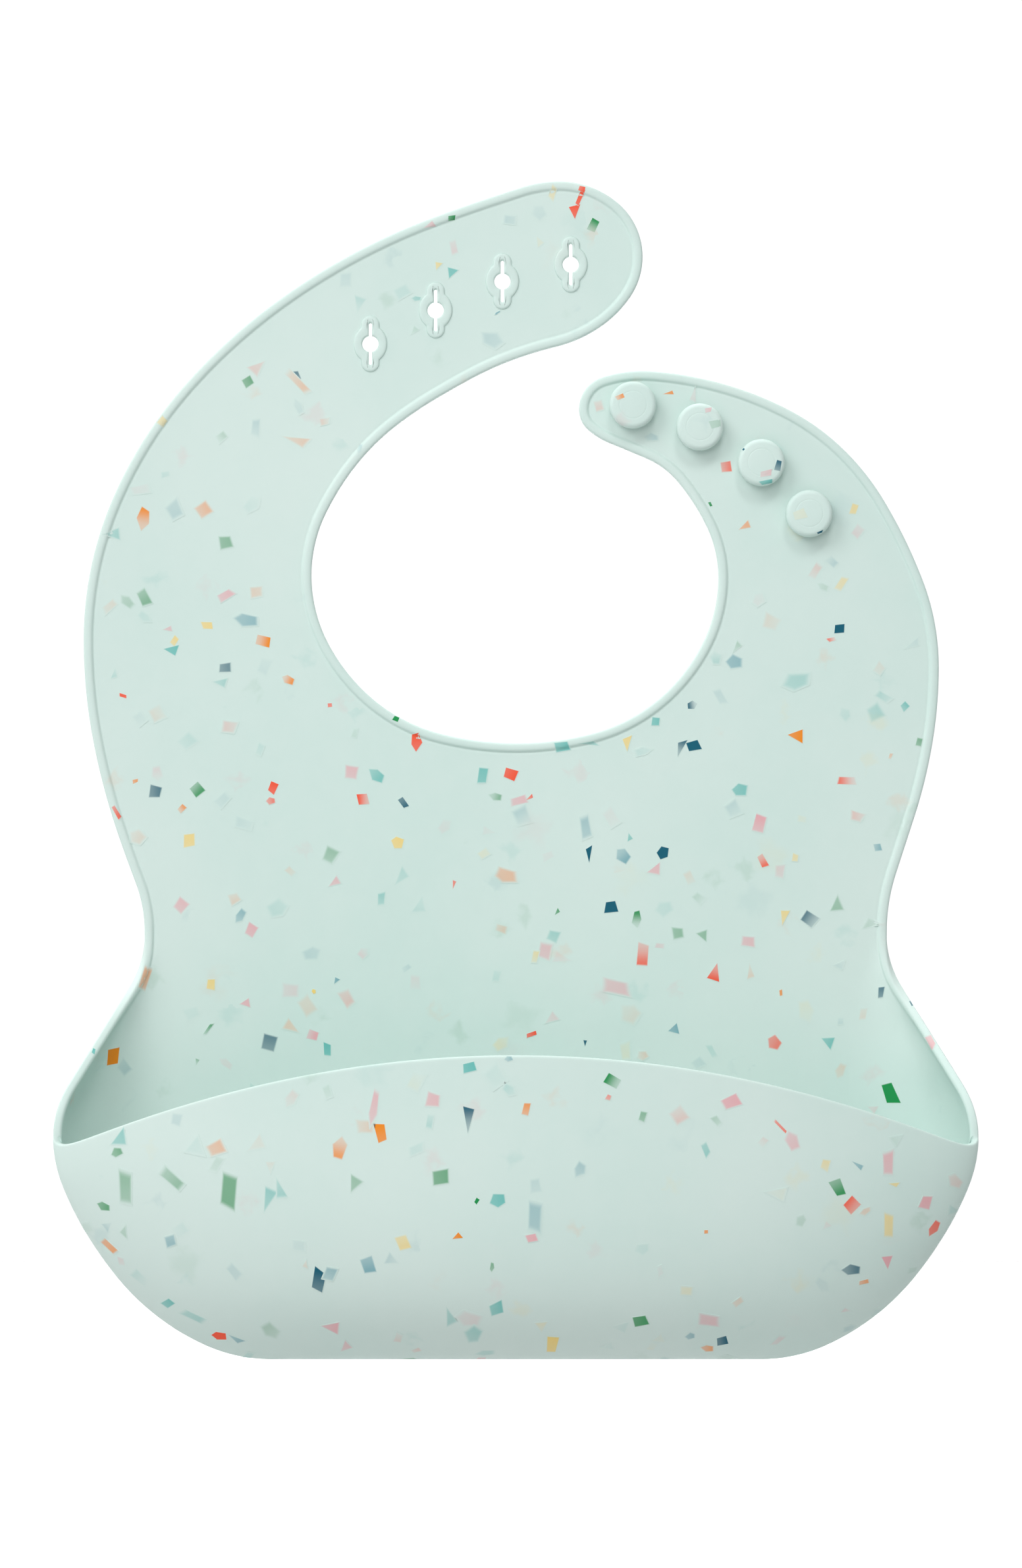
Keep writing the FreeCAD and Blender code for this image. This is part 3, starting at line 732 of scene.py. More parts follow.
# The chips that show clearest from the front: colour, the x and z of the middle, length, width, turn in
# degrees, how solid the chip is at the end that lies nearest the surface, and what share of that is left at
# its other end, where it dips into the silicone.
CHIPS = [
    ("green", -68.5, 48.2, 2.8, 2.6, 20, 0.75, 0.8),
    ("navy", -56.1, 49.1, 2.8, 1.6, 110, 0.8, 0.7),
    ("orange", -55.7, 48.0, 7.0, 1.7, -45, 0.45, 0.5),
    ("teal", -25.3, 69.3, 2.6, 1.4, 0, 0.5, 0.8),
    ("yellow", -19.9, 77.8, 2.3, 1.6, 70, 0.7, 0.8),
    ("teal", -16.2, 76.1, 2.8, 2.6, 60, 0.75, 1),
    ("blue", -4.7, 65.6, 2.8, 0.7, 35, 0.7, 1),
    ("green", -16.4, 89.8, 2.0, 1.2, 20, 0.95, 0.8),
    ("pink", -21.6, 88.0, 3.1, 1.4, 20, 0.55, 0.6),
    ("orange", -55.3, 32.9, 7.1, 2.3, -15, 0.4, 0.6),
    ("yellow", -90.4, 37.9, 2.6, 1.9, 60, 0.6, 0.8),
    ("orange", -95.3, 13.3, 4.7, 2.9, 82, 0.95, 0.4),
    ("orange", -80.1, 15.2, 3.6, 3.3, 25, 0.55, 0.7),
    ("teal", -102.8, 9.1, 3.9, 2.9, 0, 0.5, 0.7),
    ("green", -74.3, 6.9, 3.3, 2.8, 5, 0.6, 0.9),
    ("green", -95.1, -7.3, 3.9, 2.8, -60, 0.65, 0.7),
    ("pink", -74.3, -6.7, 3.9, 2.2, 25, 0.6, 0.8),
    ("blue", -68.8, -12.9, 4.7, 2.6, -12, 0.65, 0.8),
    ("yellow", -78.8, -14.4, 3.3, 1.7, -5, 0.85, 0.9),
    ("pink", -88.9, -15.3, 4.7, 2.8, 10, 0.5, 0.8),
    ("yellow", -87.3, -18.3, 3.1, 2.2, 60, 0.8, 0.8),
    ("teal", -87.7, -20.5, 3.9, 2.3, 10, 0.85, 0.9),
    ("orange", -64.6, -18.3, 3.7, 2.6, -12, 1, 0.4),
    ("coral", 15.2, 92.1, 3.4, 2.8, 80, 1, 0.9),
    ("coral", 16.4, 95.0, 4.3, 1.2, 68, 1, 0.9),
    ("coral", 17.0, 97.2, 2.5, 1.9, -20, 1, 0.8),
    ("green", 19.8, 88.0, 3.6, 2.6, 60, 1, 0.3),
    ("yellow", 9.5, 96.4, 3.9, 1.4, 75, 0.5, 0.8),
    ("orange", 39.6, 45.1, 2.8, 1.0, 12, 0.9, 0.8),
    ("coral", 53.9, 26.4, 3.1, 2.8, 0, 0.85, 0.6),
    ("yellow", 86.6, 15.4, 2.3, 2.0, 70, 0.7, 0.9),
    ("orange", 59.0, 11.2, 3.3, 1.7, 30, 0.65, 0.9),
    ("green", 49.8, 16.7, 3.1, 1.4, -62, 0.95, 0.9),
    ("orange", 37.5, 25.9, 3.3, 0.7, -32, 0.9, 1),
    ("coral", 22.0, 33.4, 2.2, 0.7, -20, 0.85, 1),
    ("yellow", 83.4, -3.6, 4.0, 1.9, 50, 0.55, 0.8),
    ("navy", 82.8, -15.2, 3.7, 2.9, 5, 1, 1),
    ("coral", 80.9, -17.9, 2.2, 1.0, 190, 0.8, 0.2),
    ("navy", -74.5, -25.2, 3.5, 2.1, 5, 0.75, 0.8),
    ("teal", -75.2, -28.9, 3.0, 2.3, 0, 0.45, 0.7),
    ("orange", -58.3, -28.2, 2.7, 1.8, -25, 0.9, 0.3),
    ("coral", -100.5, -32.3, 2.3, 0.8, -20, 0.95, 1),
    ("coral", -47.5, -34.7, 1.1, 1.1, 0, 0.75, 1),
    ("navy", -36.5, -33.5, 1.4, 1.2, 0, 0.85, 0.6),
    ("green", -30.6, -38.3, 3.0, 2.7, -20, 1, 1),
    ("coral", -25.5, -43.9, 3.8, 2.3, 88, 1, 0.9),
    ("orange", -97.4, -54.2, 1.4, 0.9, 20, 0.8, 0.8),
    ("navy", -92.4, -56.8, 3.2, 2.9, 5, 0.85, 0.8),
    ("green", -81.7, -56.1, 3.2, 3.0, -40, 0.9, 0.5),
    ("orange", -85.4, -61.2, 2.1, 1.5, 35, 0.85, 0.4),
    ("coral", -62.1, -55.9, 3.2, 2.0, 72, 1, 0.9),
    ("coral", -62.6, -59.2, 2.0, 1.4, 10, 0.8, 0.7),
    ("coral", -102.2, -62.0, 3.5, 1.0, -62, 0.9, 0.7),
    ("yellow", -83.7, -69.4, 3.5, 3.2, 85, 0.85, 0.9),
    ("pink", -42.1, -51.9, 3.8, 2.7, 75, 0.6, 0.8),
    ("teal", -35.6, -52.7, 3.9, 2.4, -40, 0.8, 0.7),
    ("coral", -39.0, -58.9, 3.2, 2.9, 180, 1, 0.4),
    ("navy", -28.7, -59.7, 3.0, 1.5, -55, 0.95, 0.8),
    ("teal", -8.5, -52.5, 3.9, 2.6, 75, 0.8, 0.9),
    ("coral", -1.4, -52.3, 3.5, 3.0, -30, 1, 0.9),
    ("green", -5.0, -58.2, 2.7, 1.5, -15, 0.65, 0.4),
    ("pink", 0.9, -59.2, 4.2, 2.1, 15, 0.6, 0.8),
    ("coral", 3.9, -58.2, 2.6, 0.8, 30, 0.95, 0.7),
    ("yellow", -30.3, -69.9, 2.7, 2.6, 45, 0.9, 0.9),
    ("green", -47.5, -73.0, 3.8, 3.2, 70, 0.5, 0.8),
    ("pink", -46.2, -80.0, 2.9, 2.3, 45, 0.55, 0.8),
    ("orange", -2.6, -78.3, 4.5, 3.0, -10, 0.5, 0.9),
    ("coral", -15.8, -80.5, 2.0, 0.9, 85, 0.75, 0.9),
    ("pink", -85.6, -86.0, 3.5, 2.9, 65, 0.6, 0.8),
    ("teal", -34.3, -84.2, 3.2, 1.8, 85, 0.55, 0.7),
    ("blue", -70.5, -88.6, 3.0, 1.8, 65, 0.65, 0.7),
    ("teal", 11.9, -45.4, 4.3, 2.2, 5, 0.85, 0.8),
    ("navy", 11.6, -48.6, 3.7, 2.4, 112, 1, 0.3),
    ("yellow", 28.6, -44.0, 4.0, 2.2, 88, 0.85, 0.9),
    ("teal", 35.8, -39.0, 2.2, 1.9, 0, 0.8, 0.9),
    ("navy", 45.1, -34.7, 2.2, 1.8, 190, 0.95, 0.2),
    ("teal", 19.0, -44.5, 4.0, 1.0, -3, 0.5, 0.7),
    ("blue", 55.8, -23.7, 3.5, 3.0, 5, 0.65, 0.9),
    ("navy", 42.2, -45.4, 5.7, 2.4, 65, 0.95, 0.4),
    ("navy", 45.6, -45.1, 3.3, 2.7, 10, 1, 1),
    ("teal", 57.3, -56.4, 3.2, 2.7, 5, 0.75, 0.9),
    ("blue", 18.0, -66.3, 5.3, 2.4, 95, 0.5, 0.8),
    ("navy", 18.8, -72.2, 4.0, 1.5, 88, 1, 1),
    ("blue", 27.6, -73.3, 3.3, 2.7, -50, 0.8, 0.6),
    ("teal", 29.2, -68.7, 2.2, 1.1, -85, 0.7, 0.8),
    ("navy", 37.8, -72.5, 3.3, 2.5, 72, 1, 1),
    ("pink", 35.7, -76.6, 3.7, 2.5, 20, 0.6, 0.9),
    ("pink", 62.1, -64.9, 4.6, 2.9, 78, 0.8, 0.7),
    ("coral", 63.2, -74.7, 3.8, 1.9, -62, 0.95, 0.4),
    ("yellow", 71.5, -73.9, 2.1, 1.4, 90, 0.6, 0.8),
    ("orange", 71.9, -42.5, 4.0, 3.0, -8, 1, 0.9),
    ("teal", 71.9, -28.7, 5.3, 3.5, 10, 0.4, 0.9),
    ("teal", 91.9, -36.7, 3.7, 3.3, 15, 0.4, 0.8),
    ("teal", 99.7, -35.1, 2.0, 1.8, 45, 0.75, 0.7),
    ("green", 103.2, -44.3, 2.1, 1.4, 70, 0.65, 0.8),
    ("orange", 95.9, -47.8, 2.7, 1.9, 70, 0.45, 0.6),
    ("orange", 106.0, -48.4, 3.5, 0.8, 86, 0.9, 1),
    ("coral", 84.8, -54.1, 4.5, 2.1, 180, 0.85, 0.2),
    ("blue", 92.7, -71.1, 2.2, 1.9, 0, 0.75, 0.6),
    ("green", 82.1, -86.2, 4.0, 3.0, -85, 0.5, 0.9),
    ("navy", 24.4, -86.5, 3.2, 2.9, 5, 1, 1),
    ("green", 31.0, -89.4, 3.7, 1.9, 88, 0.95, 0.2),
    ("yellow", 68.8, -88.6, 3.5, 2.1, 80, 0.8, 0.8),
    ("navy", 75.2, -89.4, 4.3, 3.2, 145, 0.85, 0.4),
    ("green", 10.7, -87.5, 1.8, 1.0, 60, 0.85, 0.8),
    ("pink", -67.5, -92.3, 3.5, 2.4, 70, 0.7, 0.8),
    ("orange", -94.8, -104.9, 5.9, 2.0, 75, 0.6, 0.8),
    ("yellow", -77.9, -106.2, 2.7, 2.1, 85, 0.85, 0.9),
    ("pink", -69.0, -111.0, 2.3, 2.0, 0, 0.65, 0.9),
    ("blue", -45.8, -105.1, 1.8, 1.2, 50, 0.8, 0.9),
    ("yellow", -51.7, -107.9, 1.1, 0.8, -60, 1, 1),
    ("green", -78.8, -117.7, 3.3, 0.8, 52, 0.8, 0.4),
    ("green", -81.5, -125.7, 2.0, 0.8, 80, 0.65, 0.3),
    ("navy", -63.1, -121.1, 3.9, 3.2, 80, 0.8, 0.8),
    ("pink", -52.1, -119.0, 3.0, 2.4, -20, 0.8, 0.5),
    ("teal", -48.2, -122.8, 3.6, 1.8, 92, 0.9, 0.9),
    ("orange", -102.7, -124.5, 4.7, 2.7, 78, 1, 1),
    ("teal", -106.7, -122.4, 2.6, 1.5, 85, 0.9, 0.9),
    ("teal", -98.6, -143.1, 4.2, 3.6, 40, 0.6, 0.9),
    ("pink", 7.5, -97.8, 3.8, 2.9, 85, 0.5, 0.9),
    ("yellow", 5.0, -99.1, 3.2, 1.5, 70, 0.6, 0.5),
    ("coral", 4.1, -118.9, 2.9, 1.1, 22, 1, 0.8),
    ("blue", -1.7, -122.8, 3.2, 2.1, 10, 0.6, 0.6),
    ("teal", -11.6, -124.9, 3.4, 2.3, 22, 0.9, 0.9),
    ("navy", -11.6, -137.4, 6.6, 2.8, 92, 1, 0.4),
    ("orange", -33.5, -141.0, 4.5, 2.9, 100, 1, 0.9),
    ("orange", -43.7, -145.1, 4.5, 2.8, 255, 0.85, 0.4),
    ("pink", -35.1, -134.6, 6.7, 1.6, 80, 0.6, 0.8),
    ("pink", -20.5, -132.9, 3.4, 3.2, -15, 0.6, 0.9),
    ("orange", 2.5, -135.4, 3.1, 1.8, 70, 0.85, 0.7),
    ("orange", -74.3, -145.1, 4.4, 3.4, 30, 0.5, 0.8),
    ("teal", 9.7, -93.8, 2.9, 2.7, 60, 0.5, 0.8),
    ("coral", 32.4, -98.5, 5.9, 2.7, -92, 0.9, 0.4),
    ("green", 41.5, -93.0, 2.9, 2.7, 0, 0.55, 0.9),
    ("green", 48.0, -93.7, 2.9, 2.5, 0, 0.55, 0.9),
    ("pink", 59.5, -95.2, 3.2, 2.5, 0, 0.55, 0.9),
    ("coral", 51.0, -103.5, 4.0, 2.9, 258, 1, 0.6),
    ("pink", 25.8, -106.9, 6.2, 3.2, -15, 0.5, 0.9),
    ("navy", 17.8, -120.9, 2.2, 1.0, 90, 0.95, 1),
    ("blue", 40.9, -117.5, 2.7, 2.4, 10, 0.85, 0.8),
    ("coral", 66.2, -121.0, 3.2, 2.7, -30, 0.8, 0.8),
    ("orange", 67.9, -108.3, 1.6, 0.8, 90, 0.85, 1),
    ("teal", 80.2, -121.0, 3.0, 2.5, -20, 0.8, 0.8),
    ("navy", 93.4, -108.1, 3.2, 1.4, 85, 0.85, 0.8),
    ("navy", 100.7, -110.7, 4.5, 1.1, -62, 0.8, 0.9),
    ("pink", 105.1, -120.1, 3.3, 1.6, -70, 0.65, 0.8),
    ("green", 95.8, -134.2, 5.7, 3.3, -65, 1, 1),
    ("green", 23.9, -128.3, 3.9, 2.8, 150, 1, 0.3),
    ("pink", 53.7, -133.4, 4.3, 2.8, 15, 0.75, 0.9),
    ("coral", 22.9, -132.4, 1.4, 1.1, 60, 0.65, 0.8),
    ("green", 31.3, -137.1, 2.8, 1.5, 75, 0.6, 0.8),
    ("coral", 65.8, -139.9, 5.4, 0.7, -45, 0.8, 0.8),
    ("pink", 68.6, -143.6, 4.3, 2.6, -60, 0.55, 0.8),
    ("teal", 47.1, -145.5, 3.1, 1.5, -70, 0.6, 0.8),
    ("pink", 92.8, -147.3, 2.8, 1.9, 0, 0.6, 0.9),
    ("green", -99.3, -146.6, 2.6, 1.9, 25, 0.7, 0.8),
    ("green", -97.2, -155.7, 7.6, 3.4, 95, 0.55, 0.8),
    ("green", -85.3, -153.2, 6.0, 2.8, -40, 0.55, 0.7),
    ("green", -71.2, -156.1, 8.2, 3.2, 88, 0.7, 1),
    ("teal", -61.4, -157.2, 5.1, 2.9, 75, 0.6, 0.8),
    ("teal", -58.3, -155.4, 4.4, 2.3, -80, 0.5, 0.7),
    ("green", -40.0, -153.5, 4.1, 3.1, 75, 0.5, 0.9),
    ("green", -18.5, -152.2, 4.5, 3.2, 18, 0.75, 0.9),
    ("blue", -86.0, -168.7, 3.2, 2.5, -80, 0.6, 0.8),
    ("orange", -101.5, -170.5, 4.5, 1.6, -42, 0.75, 0.8),
    ("green", -102.8, -160.2, 2.9, 1.8, -20, 0.8, 0.8),
    ("teal", -87.1, -184.9, 2.9, 2.0, 30, 0.8, 0.8),
    ("teal", -80.9, -188.2, 5.7, 1.6, -20, 0.45, 0.8),
    ("coral", -74.5, -193.3, 3.2, 1.9, -8, 1, 1),
    ("blue", -69.9, -194.2, 4.5, 1.5, -25, 0.65, 0.8),
    ("navy", -48.9, -178.0, 5.8, 3.1, 82, 1, 0.8),
    ("blue", -46.1, -176.5, 3.6, 2.5, 60, 0.6, 0.7),
    ("blue", -36.6, -174.1, 4.1, 3.2, -75, 0.8, 0.7),
    ("yellow", -28.0, -168.6, 3.4, 2.8, -60, 0.75, 0.8),
    ("green", -9.6, -157.9, 1.5, 1.0, 60, 1, 1),
    ("teal", -4.3, -157.8, 3.1, 2.6, 10, 0.85, 0.9),
    ("orange", -14.3, -166.8, 2.3, 1.5, 15, 1, 0.9),
    ("blue", 4.5, -161.9, 6.7, 3.1, 90, 0.5, 0.9),
    ("pink", 3.9, -167.2, 2.9, 1.9, 5, 0.75, 0.9),
    ("green", -5.9, -174.5, 1.9, 0.9, 85, 0.65, 0.8),
    ("teal", -4.6, -185.1, 3.6, 3.1, 20, 0.8, 0.8),
    ("teal", -16.3, -187.8, 4.1, 2.3, -75, 0.45, 0.9),
    ("teal", -10.5, -192.2, 3.6, 3.1, 60, 0.5, 0.8),
    ("pink", -45.9, -190.5, 3.8, 3.2, 0, 0.7, 0.8),
    ("pink", -42.6, -195.8, 3.1, 2.5, 45, 0.5, 0.8),
    ("yellow", 9.2, -194.9, 4.5, 2.8, 78, 0.95, 0.9),
    ("green", 79.9, -155.0, 4.5, 2.9, -62, 0.95, 0.6),
    ("coral", 83.4, -159.4, 3.7, 3.4, 140, 0.95, 0.6),
    ("blue", 85.3, -149.8, 3.7, 1.0, -35, 0.7, 0.8),
    ("yellow", 76.8, -149.4, 2.8, 2.0, 80, 0.6, 0.7),
    ("pink", 92.7, -149.4, 5.9, 2.6, 90, 0.6, 0.9),
    ("yellow", 94.2, -154.5, 2.6, 1.0, 0, 0.7, 0.9),
    ("pink", 102.3, -159.4, 3.5, 2.6, 75, 0.75, 0.9),
    ("yellow", 92.8, -165.0, 5.6, 2.5, 88, 0.7, 0.9),
    ("coral", 104.6, -166.0, 3.9, 1.9, 55, 0.85, 0.9),
    ("pink", 92.7, -174.1, 3.2, 2.6, 80, 0.8, 0.9),
    ("navy", 83.6, -176.0, 4.2, 2.2, 5, 0.85, 0.7),
    ("orange", 86.9, -179.3, 2.5, 1.1, 12, 0.75, 0.7),
    ("green", 30.9, -188.6, 3.9, 2.9, 0, 0.9, 0.9),
    ("pink", 47.8, -188.6, 5.1, 2.8, -8, 0.5, 0.9),
    ("blue", 43.7, -192.9, 2.0, 1.5, 10, 0.6, 0.8),
    ("navy", 51.8, -194.2, 2.9, 2.5, 5, 1, 0.8),
    ("orange", 48.1, -196.4, 2.6, 1.5, -10, 0.75, 0.7),
    ("blue", 15.9, -150.0, 3.1, 2.2, 70, 0.45, 0.8),
    ("orange", 47.2, -165.8, 1.0, 0.9, 0, 0.8, 1),
]
# On the buttons' heads: button number, colour, x and z from its middle, length, width, turn, solidity, share.
BUTTON_CHIPS = [
    (1, "orange", -3.4, 1.9, 2.2, 1.2, 20, 0.85, 0.4),
    (1, "orange", -5.5, 1.8, 1.2, 0.9, 70, 0.9, 0.9),
    (2, "pink", 2.0, 4.2, 2.6, 1.6, 15, 0.5, 0.7),
    (2, "green", 3.8, 0.6, 3.0, 2.2, 10, 0.3, 0.8),
    (3, "navy", -4.6, 3.3, 1.2, 0.9, 45, 1.0, 1.0),
    (3, "navy", 4.2, -1.0, 3.0, 1.5, 75, 0.95, 0.6),
    (3, "teal", 1.2, -5.0, 3.4, 1.1, 8, 0.85, 0.8),
    (3, "pink", 1.3, -2.8, 3.0, 1.5, 15, 0.5, 0.7),
    (4, "navy", 2.7, -4.8, 3.0, 1.1, 28, 1.0, 0.9),
    (4, "yellow", -2.4, -0.4, 3.6, 2.6, 10, 0.2, 0.8),
]

targets = dict(skins)
for number, button in enumerate(buttons, start=1):
    targets[f"button_{number}_head"] = button
all_points, all_faces, face_target = [], [], []
for name, item in targets.items():
    offset = len(all_points)
    all_points.extend(vertex.co * 1000 for vertex in item.data.vertices)
    for face in item.data.polygons:
        all_faces.append([offset + index for index in face.vertices])
        face_target.append(name)
surface = BVHTree.FromPolygons(all_points, all_faces)


def chip_outline(length, width, sides):
    """A torn scrap of sheet with a few uneven sides, as corner points about its middle."""
    # Chips have flat ends, so an even outline starts half a side round from its length.
    start = 180 / sides + RANDOM.uniform(-12, 12)
    corners = []
    for side in range(sides):
        angle = math.radians(start + 360 * (side + RANDOM.uniform(-0.12, 0.12)) / sides)
        reach = RANDOM.uniform(0.56, 0.74)
        corners.append(Vector((length * reach * math.cos(angle), width * reach * math.sin(angle))))
    return corners


def chip_rings(corners, softness):
    """Rings of points from the middle to the torn edge, each with how far the chip has faded out there."""
    per_side = 4
    body = max(1 - softness, 0.2)
    outline = []
    for here, there in zip(corners, corners[1:] + corners[:1]):
        outline.extend(here.lerp(there, step / per_side) for step in range(per_side))
    rings = []
    for share in (0.0, 0.4, 0.75, 1.0):
        rings.append([point * share * body for point in outline])
    fades = [1.0] * len(rings)
    for step in (1, 2, 3):
        rings.append([point * (body + 2 * softness * step / 3) for point in outline])
        fades.append(1 - float(smooth(step / 3)))
    return rings, fades


class ChipSet:
    """All the chips set in one piece, gathered into one mesh."""

    def __init__(self):
        self.points, self.faces, self.tints, self.amounts = [], [], [], []
        self.count = 0

    def add(self, hits, normals, fades, tint, solidity):
        """A thin closed flake just breaking the surface, as rings of surface points and their normals."""
        count = len(hits[0])
        start = len(self.points)
        # Chips that cross each other stand at slightly different heights, so that one lies clearly on top.
        lift, sink = 0.02 + 0.01 * (self.count % 7), 0.25
        self.count += 1
        for ring, ring_normals, fade, strengths in zip(hits, normals, fades, solidity):
            for point, normal, strength in zip(ring, ring_normals, strengths):
                self.points.append(point + normal * lift)
                self.tints.append(tint)
                self.amounts.append(strength * fade)
        for point, normal in zip(hits[-1], normals[-1]):
            self.points.append(point - normal * sink)
            self.tints.append(tint)
            self.amounts.append(0.0)
        for ring in range(len(hits)):
            for step in range(count):
                following = (step + 1) % count
                a, b = start + ring * count + step, start + ring * count + following
                c, d = b + count, a + count
                if ring == 0:
                    self.faces.append((a, c, d))
                else:
                    self.faces.append((a, b, c, d))
        self.faces.append(tuple(start + len(hits) * count + step for step in reversed(range(count))))


chip_sets = {}
placed_chips = []
# How much nearer or farther than its middle any point of a chip may lie, along the ray.
DEEPEST_STEP = 3.5


def lay_chip(middle, ray, upward, shape, colour, solid, share, softness, facing):
    """Sets a chip in whatever the ray meets first, following its surface, unless it would run off it."""
    ray = ray.normalized()
    across = ray.cross(upward).normalized()
    hit = surface.ray_cast(middle, ray)
    if hit[0] is None:
        return False
    name = face_target[hit[2]]
    centre_depth = (hit[0] - middle).dot(ray)
    rings, fades = chip_rings(shape["corners"], softness)
    cos, sin = math.cos(shape["turn"]), math.sin(shape["turn"])
    hits, normals, strengths = [], [], []
    for ring in rings:
        ring_hits, ring_normals, ring_strengths = [], [], []
        for point in ring:
            turned = across * (point.x * cos - point.y * sin) + upward * (point.x * sin + point.y * cos)
            found = surface.ray_cast(middle + turned, ray)
            if found[0] is None or face_target[found[2]] != name:
                return False
            if abs((found[0] - middle).dot(ray) - centre_depth) > DEEPEST_STEP or -found[1].dot(ray) < facing:
                return False
            end = float(smooth(0.5 + point.x / shape["length"]))
            ring_hits.append(found[0])
            ring_normals.append(found[1])
            ring_strengths.append(solid * (share + (1 - share) * end))
        hits.append(ring_hits)
        normals.append(ring_normals)
        strengths.append(ring_strengths)
    chip_sets.setdefault(name, ChipSet()).add(hits, normals, fades, COLOURS[colour], strengths)
    placed_chips.append(hit[0])
    return True


FORWARD = Vector((0, 1, 0))
UP = Vector((0, 0, 1))
# Where the rays towards the front chips start, and the steepest surface that takes one, as a cosine.
IN_FRONT = -90.0
STEEPEST = 0.12
# A paler chip lies deeper and has a softer edge. One that would run off its piece is tried again, smaller.
for colour, x, z, length, width, turn, solid, share in CHIPS:
    start = Vector((x, IN_FRONT, z))
    softness = 0.05 + 0.45 * (1 - solid)
    for shrink in (1.0, 0.75, 0.5, 0.35):
        shape = {"corners": chip_outline(length * shrink, width * shrink, RANDOM.choice((4, 4, 4, 5, 3))),
                 "turn": math.radians(turn), "length": length * shrink}
        if lay_chip(start, FORWARD, UP, shape, colour, solid, share, softness, facing=STEEPEST):
            break
for number, colour, x, z, length, width, turn, solid, share in BUTTON_CHIPS:
    middle_x, middle_z = BUTTONS[number - 1]
    start = Vector((middle_x + x, IN_FRONT, middle_z + z))
    for shrink in (1.0, 0.75, 0.5):
        shape = {"corners": chip_outline(length * shrink, width * shrink, 4), "turn": math.radians(turn),
                 "length": length * shrink}
        if lay_chip(start, FORWARD, UP, shape, colour, solid, share, 0.08, facing=STEEPEST):
            break

# Paler chips, deeper in the silicone, scattered over every skin but not the buttons. Where the list above has
# none, on the back and inside the pocket, more solid ones are among them.
areas = []
total = 0.0
for name, corners in zip(face_target, all_faces):
    a, b, c = (Vector(all_points[index]) for index in corners[:3])
    area = (b - a).cross(c - a).length * (1.0 if len(corners) == 4 else 0.5)
    total += 0.0 if name.endswith("_head") else area
    areas.append(total)
# One chip is tried for each AREA_PER_CHIP square millimetres, at least LEAST_GAP from those already placed.
AREA_PER_CHIP = 190.0
LEAST_GAP = 4.0
RAY_START = 3.0
PALE_COLOURS = ("pink", "pink", "coral", "orange", "yellow", "green", "teal", "teal", "blue", "navy")
taken = [tuple(point) for point in placed_chips]
for _ in range(int(total / AREA_PER_CHIP)):
    index = int(np.searchsorted(areas, RANDOM.uniform(0, total)))
    corners = [Vector(all_points[place]) for place in all_faces[index]]
    middle = sum(corners, Vector()) / len(corners)
    normal = (corners[1] - corners[0]).cross(corners[2] - corners[0]).normalized()
    gaps = ((middle.x - px) ** 2 + (middle.y - py) ** 2 + (middle.z - pz) ** 2 for px, py, pz in taken)
    if min(gaps) < LEAST_GAP**2:
        continue
    upward = UP - normal * UP.dot(normal)
    if upward.length < 0.1:
        upward = FORWARD.copy()
    seen_from_front = normal.y < -0.3
    vivid = not seen_from_front and RANDOM.random() < 0.4
    solid = RANDOM.uniform(0.55, 1.0) if vivid else RANDOM.uniform(0.08, 0.34)
    length = RANDOM.uniform(2.0, 4.6)
    width = length * RANDOM.uniform(0.45, 0.9)
    colour = RANDOM.choice(PALE_COLOURS)
    if not vivid and colour == "navy":
        colour = "blue"
    shape = {"corners": chip_outline(length, width, RANDOM.choice((3, 4, 4, 5))),
             "turn": RANDOM.uniform(0, 2 * math.pi), "length": length}
    softness = 0.06 if vivid else 0.3
    above = middle + normal * RAY_START
    if lay_chip(above, -normal, upward.normalized(), shape, colour, solid, RANDOM.uniform(0.3, 0.9),
                softness, facing=0.5):
        taken.append(tuple(middle))


# ---------------------------------------------------------------- materials
class Nodes:
    """A material's node tree, with short calls for adding nodes and joining them."""

    def __init__(self, name):
        self.material = bpy.data.materials.new(name)
        self.material.use_nodes = True
        self.tree = self.material.node_tree
        self.shader = self.tree.nodes["Principled BSDF"]

    def add(self, kind, **settings):
        node = self.tree.nodes.new(kind)
        for key, value in settings.items():
            setattr(node, key, value)
        return node

    def join(self, source, target):
        self.tree.links.new(source, target)

    def attribute(self, name, output):
        return self.add("ShaderNodeAttribute", attribute_name=name).outputs[output]

    def noise(self, place, scale, detail=2.0, roughness=0.5):
        node = self.add("ShaderNodeTexNoise")
        self.join(place, node.inputs["Vector"])
        node.inputs["Scale"].default_value = scale
        node.inputs["Detail"].default_value = detail
        node.inputs["Roughness"].default_value = roughness
        return node.outputs["Fac"]

    def spread(self, value, low, high, to_low, to_high):
        node = self.add("ShaderNodeMapRange", interpolation_type="SMOOTHSTEP")
        self.join(value, node.inputs["Value"])
        for socket, amount in zip(("From Min", "From Max", "To Min", "To Max"), (low, high, to_low, to_high)):
            node.inputs[socket].default_value = amount
        return node.outputs["Result"]

    def times(self, first, second):
        node = self.add("ShaderNodeMath", operation="MULTIPLY")
        self.join(first, node.inputs[0])
        if isinstance(second, float):
            node.inputs[1].default_value = second
        else:
            self.join(second, node.inputs[1])
        return node.outputs[0]

    def mix(self, factor, first, second):
        node = self.add("ShaderNodeMix", data_type="RGBA")
        self.join(factor, node.inputs[0])
        for socket, value in ((node.inputs[6], first), (node.inputs[7], second)):
            if isinstance(value, tuple):
                socket.default_value = (*value, 1.0)
            else:
                self.join(value, socket)
        return node.outputs[2]


MINT_LIGHT = (0.690, 0.830, 0.785)
MINT_DEEP = (0.650, 0.810, 0.762)
GHOST_TINTS = ("pink", "teal", "blue", "yellow", "green", "orange")


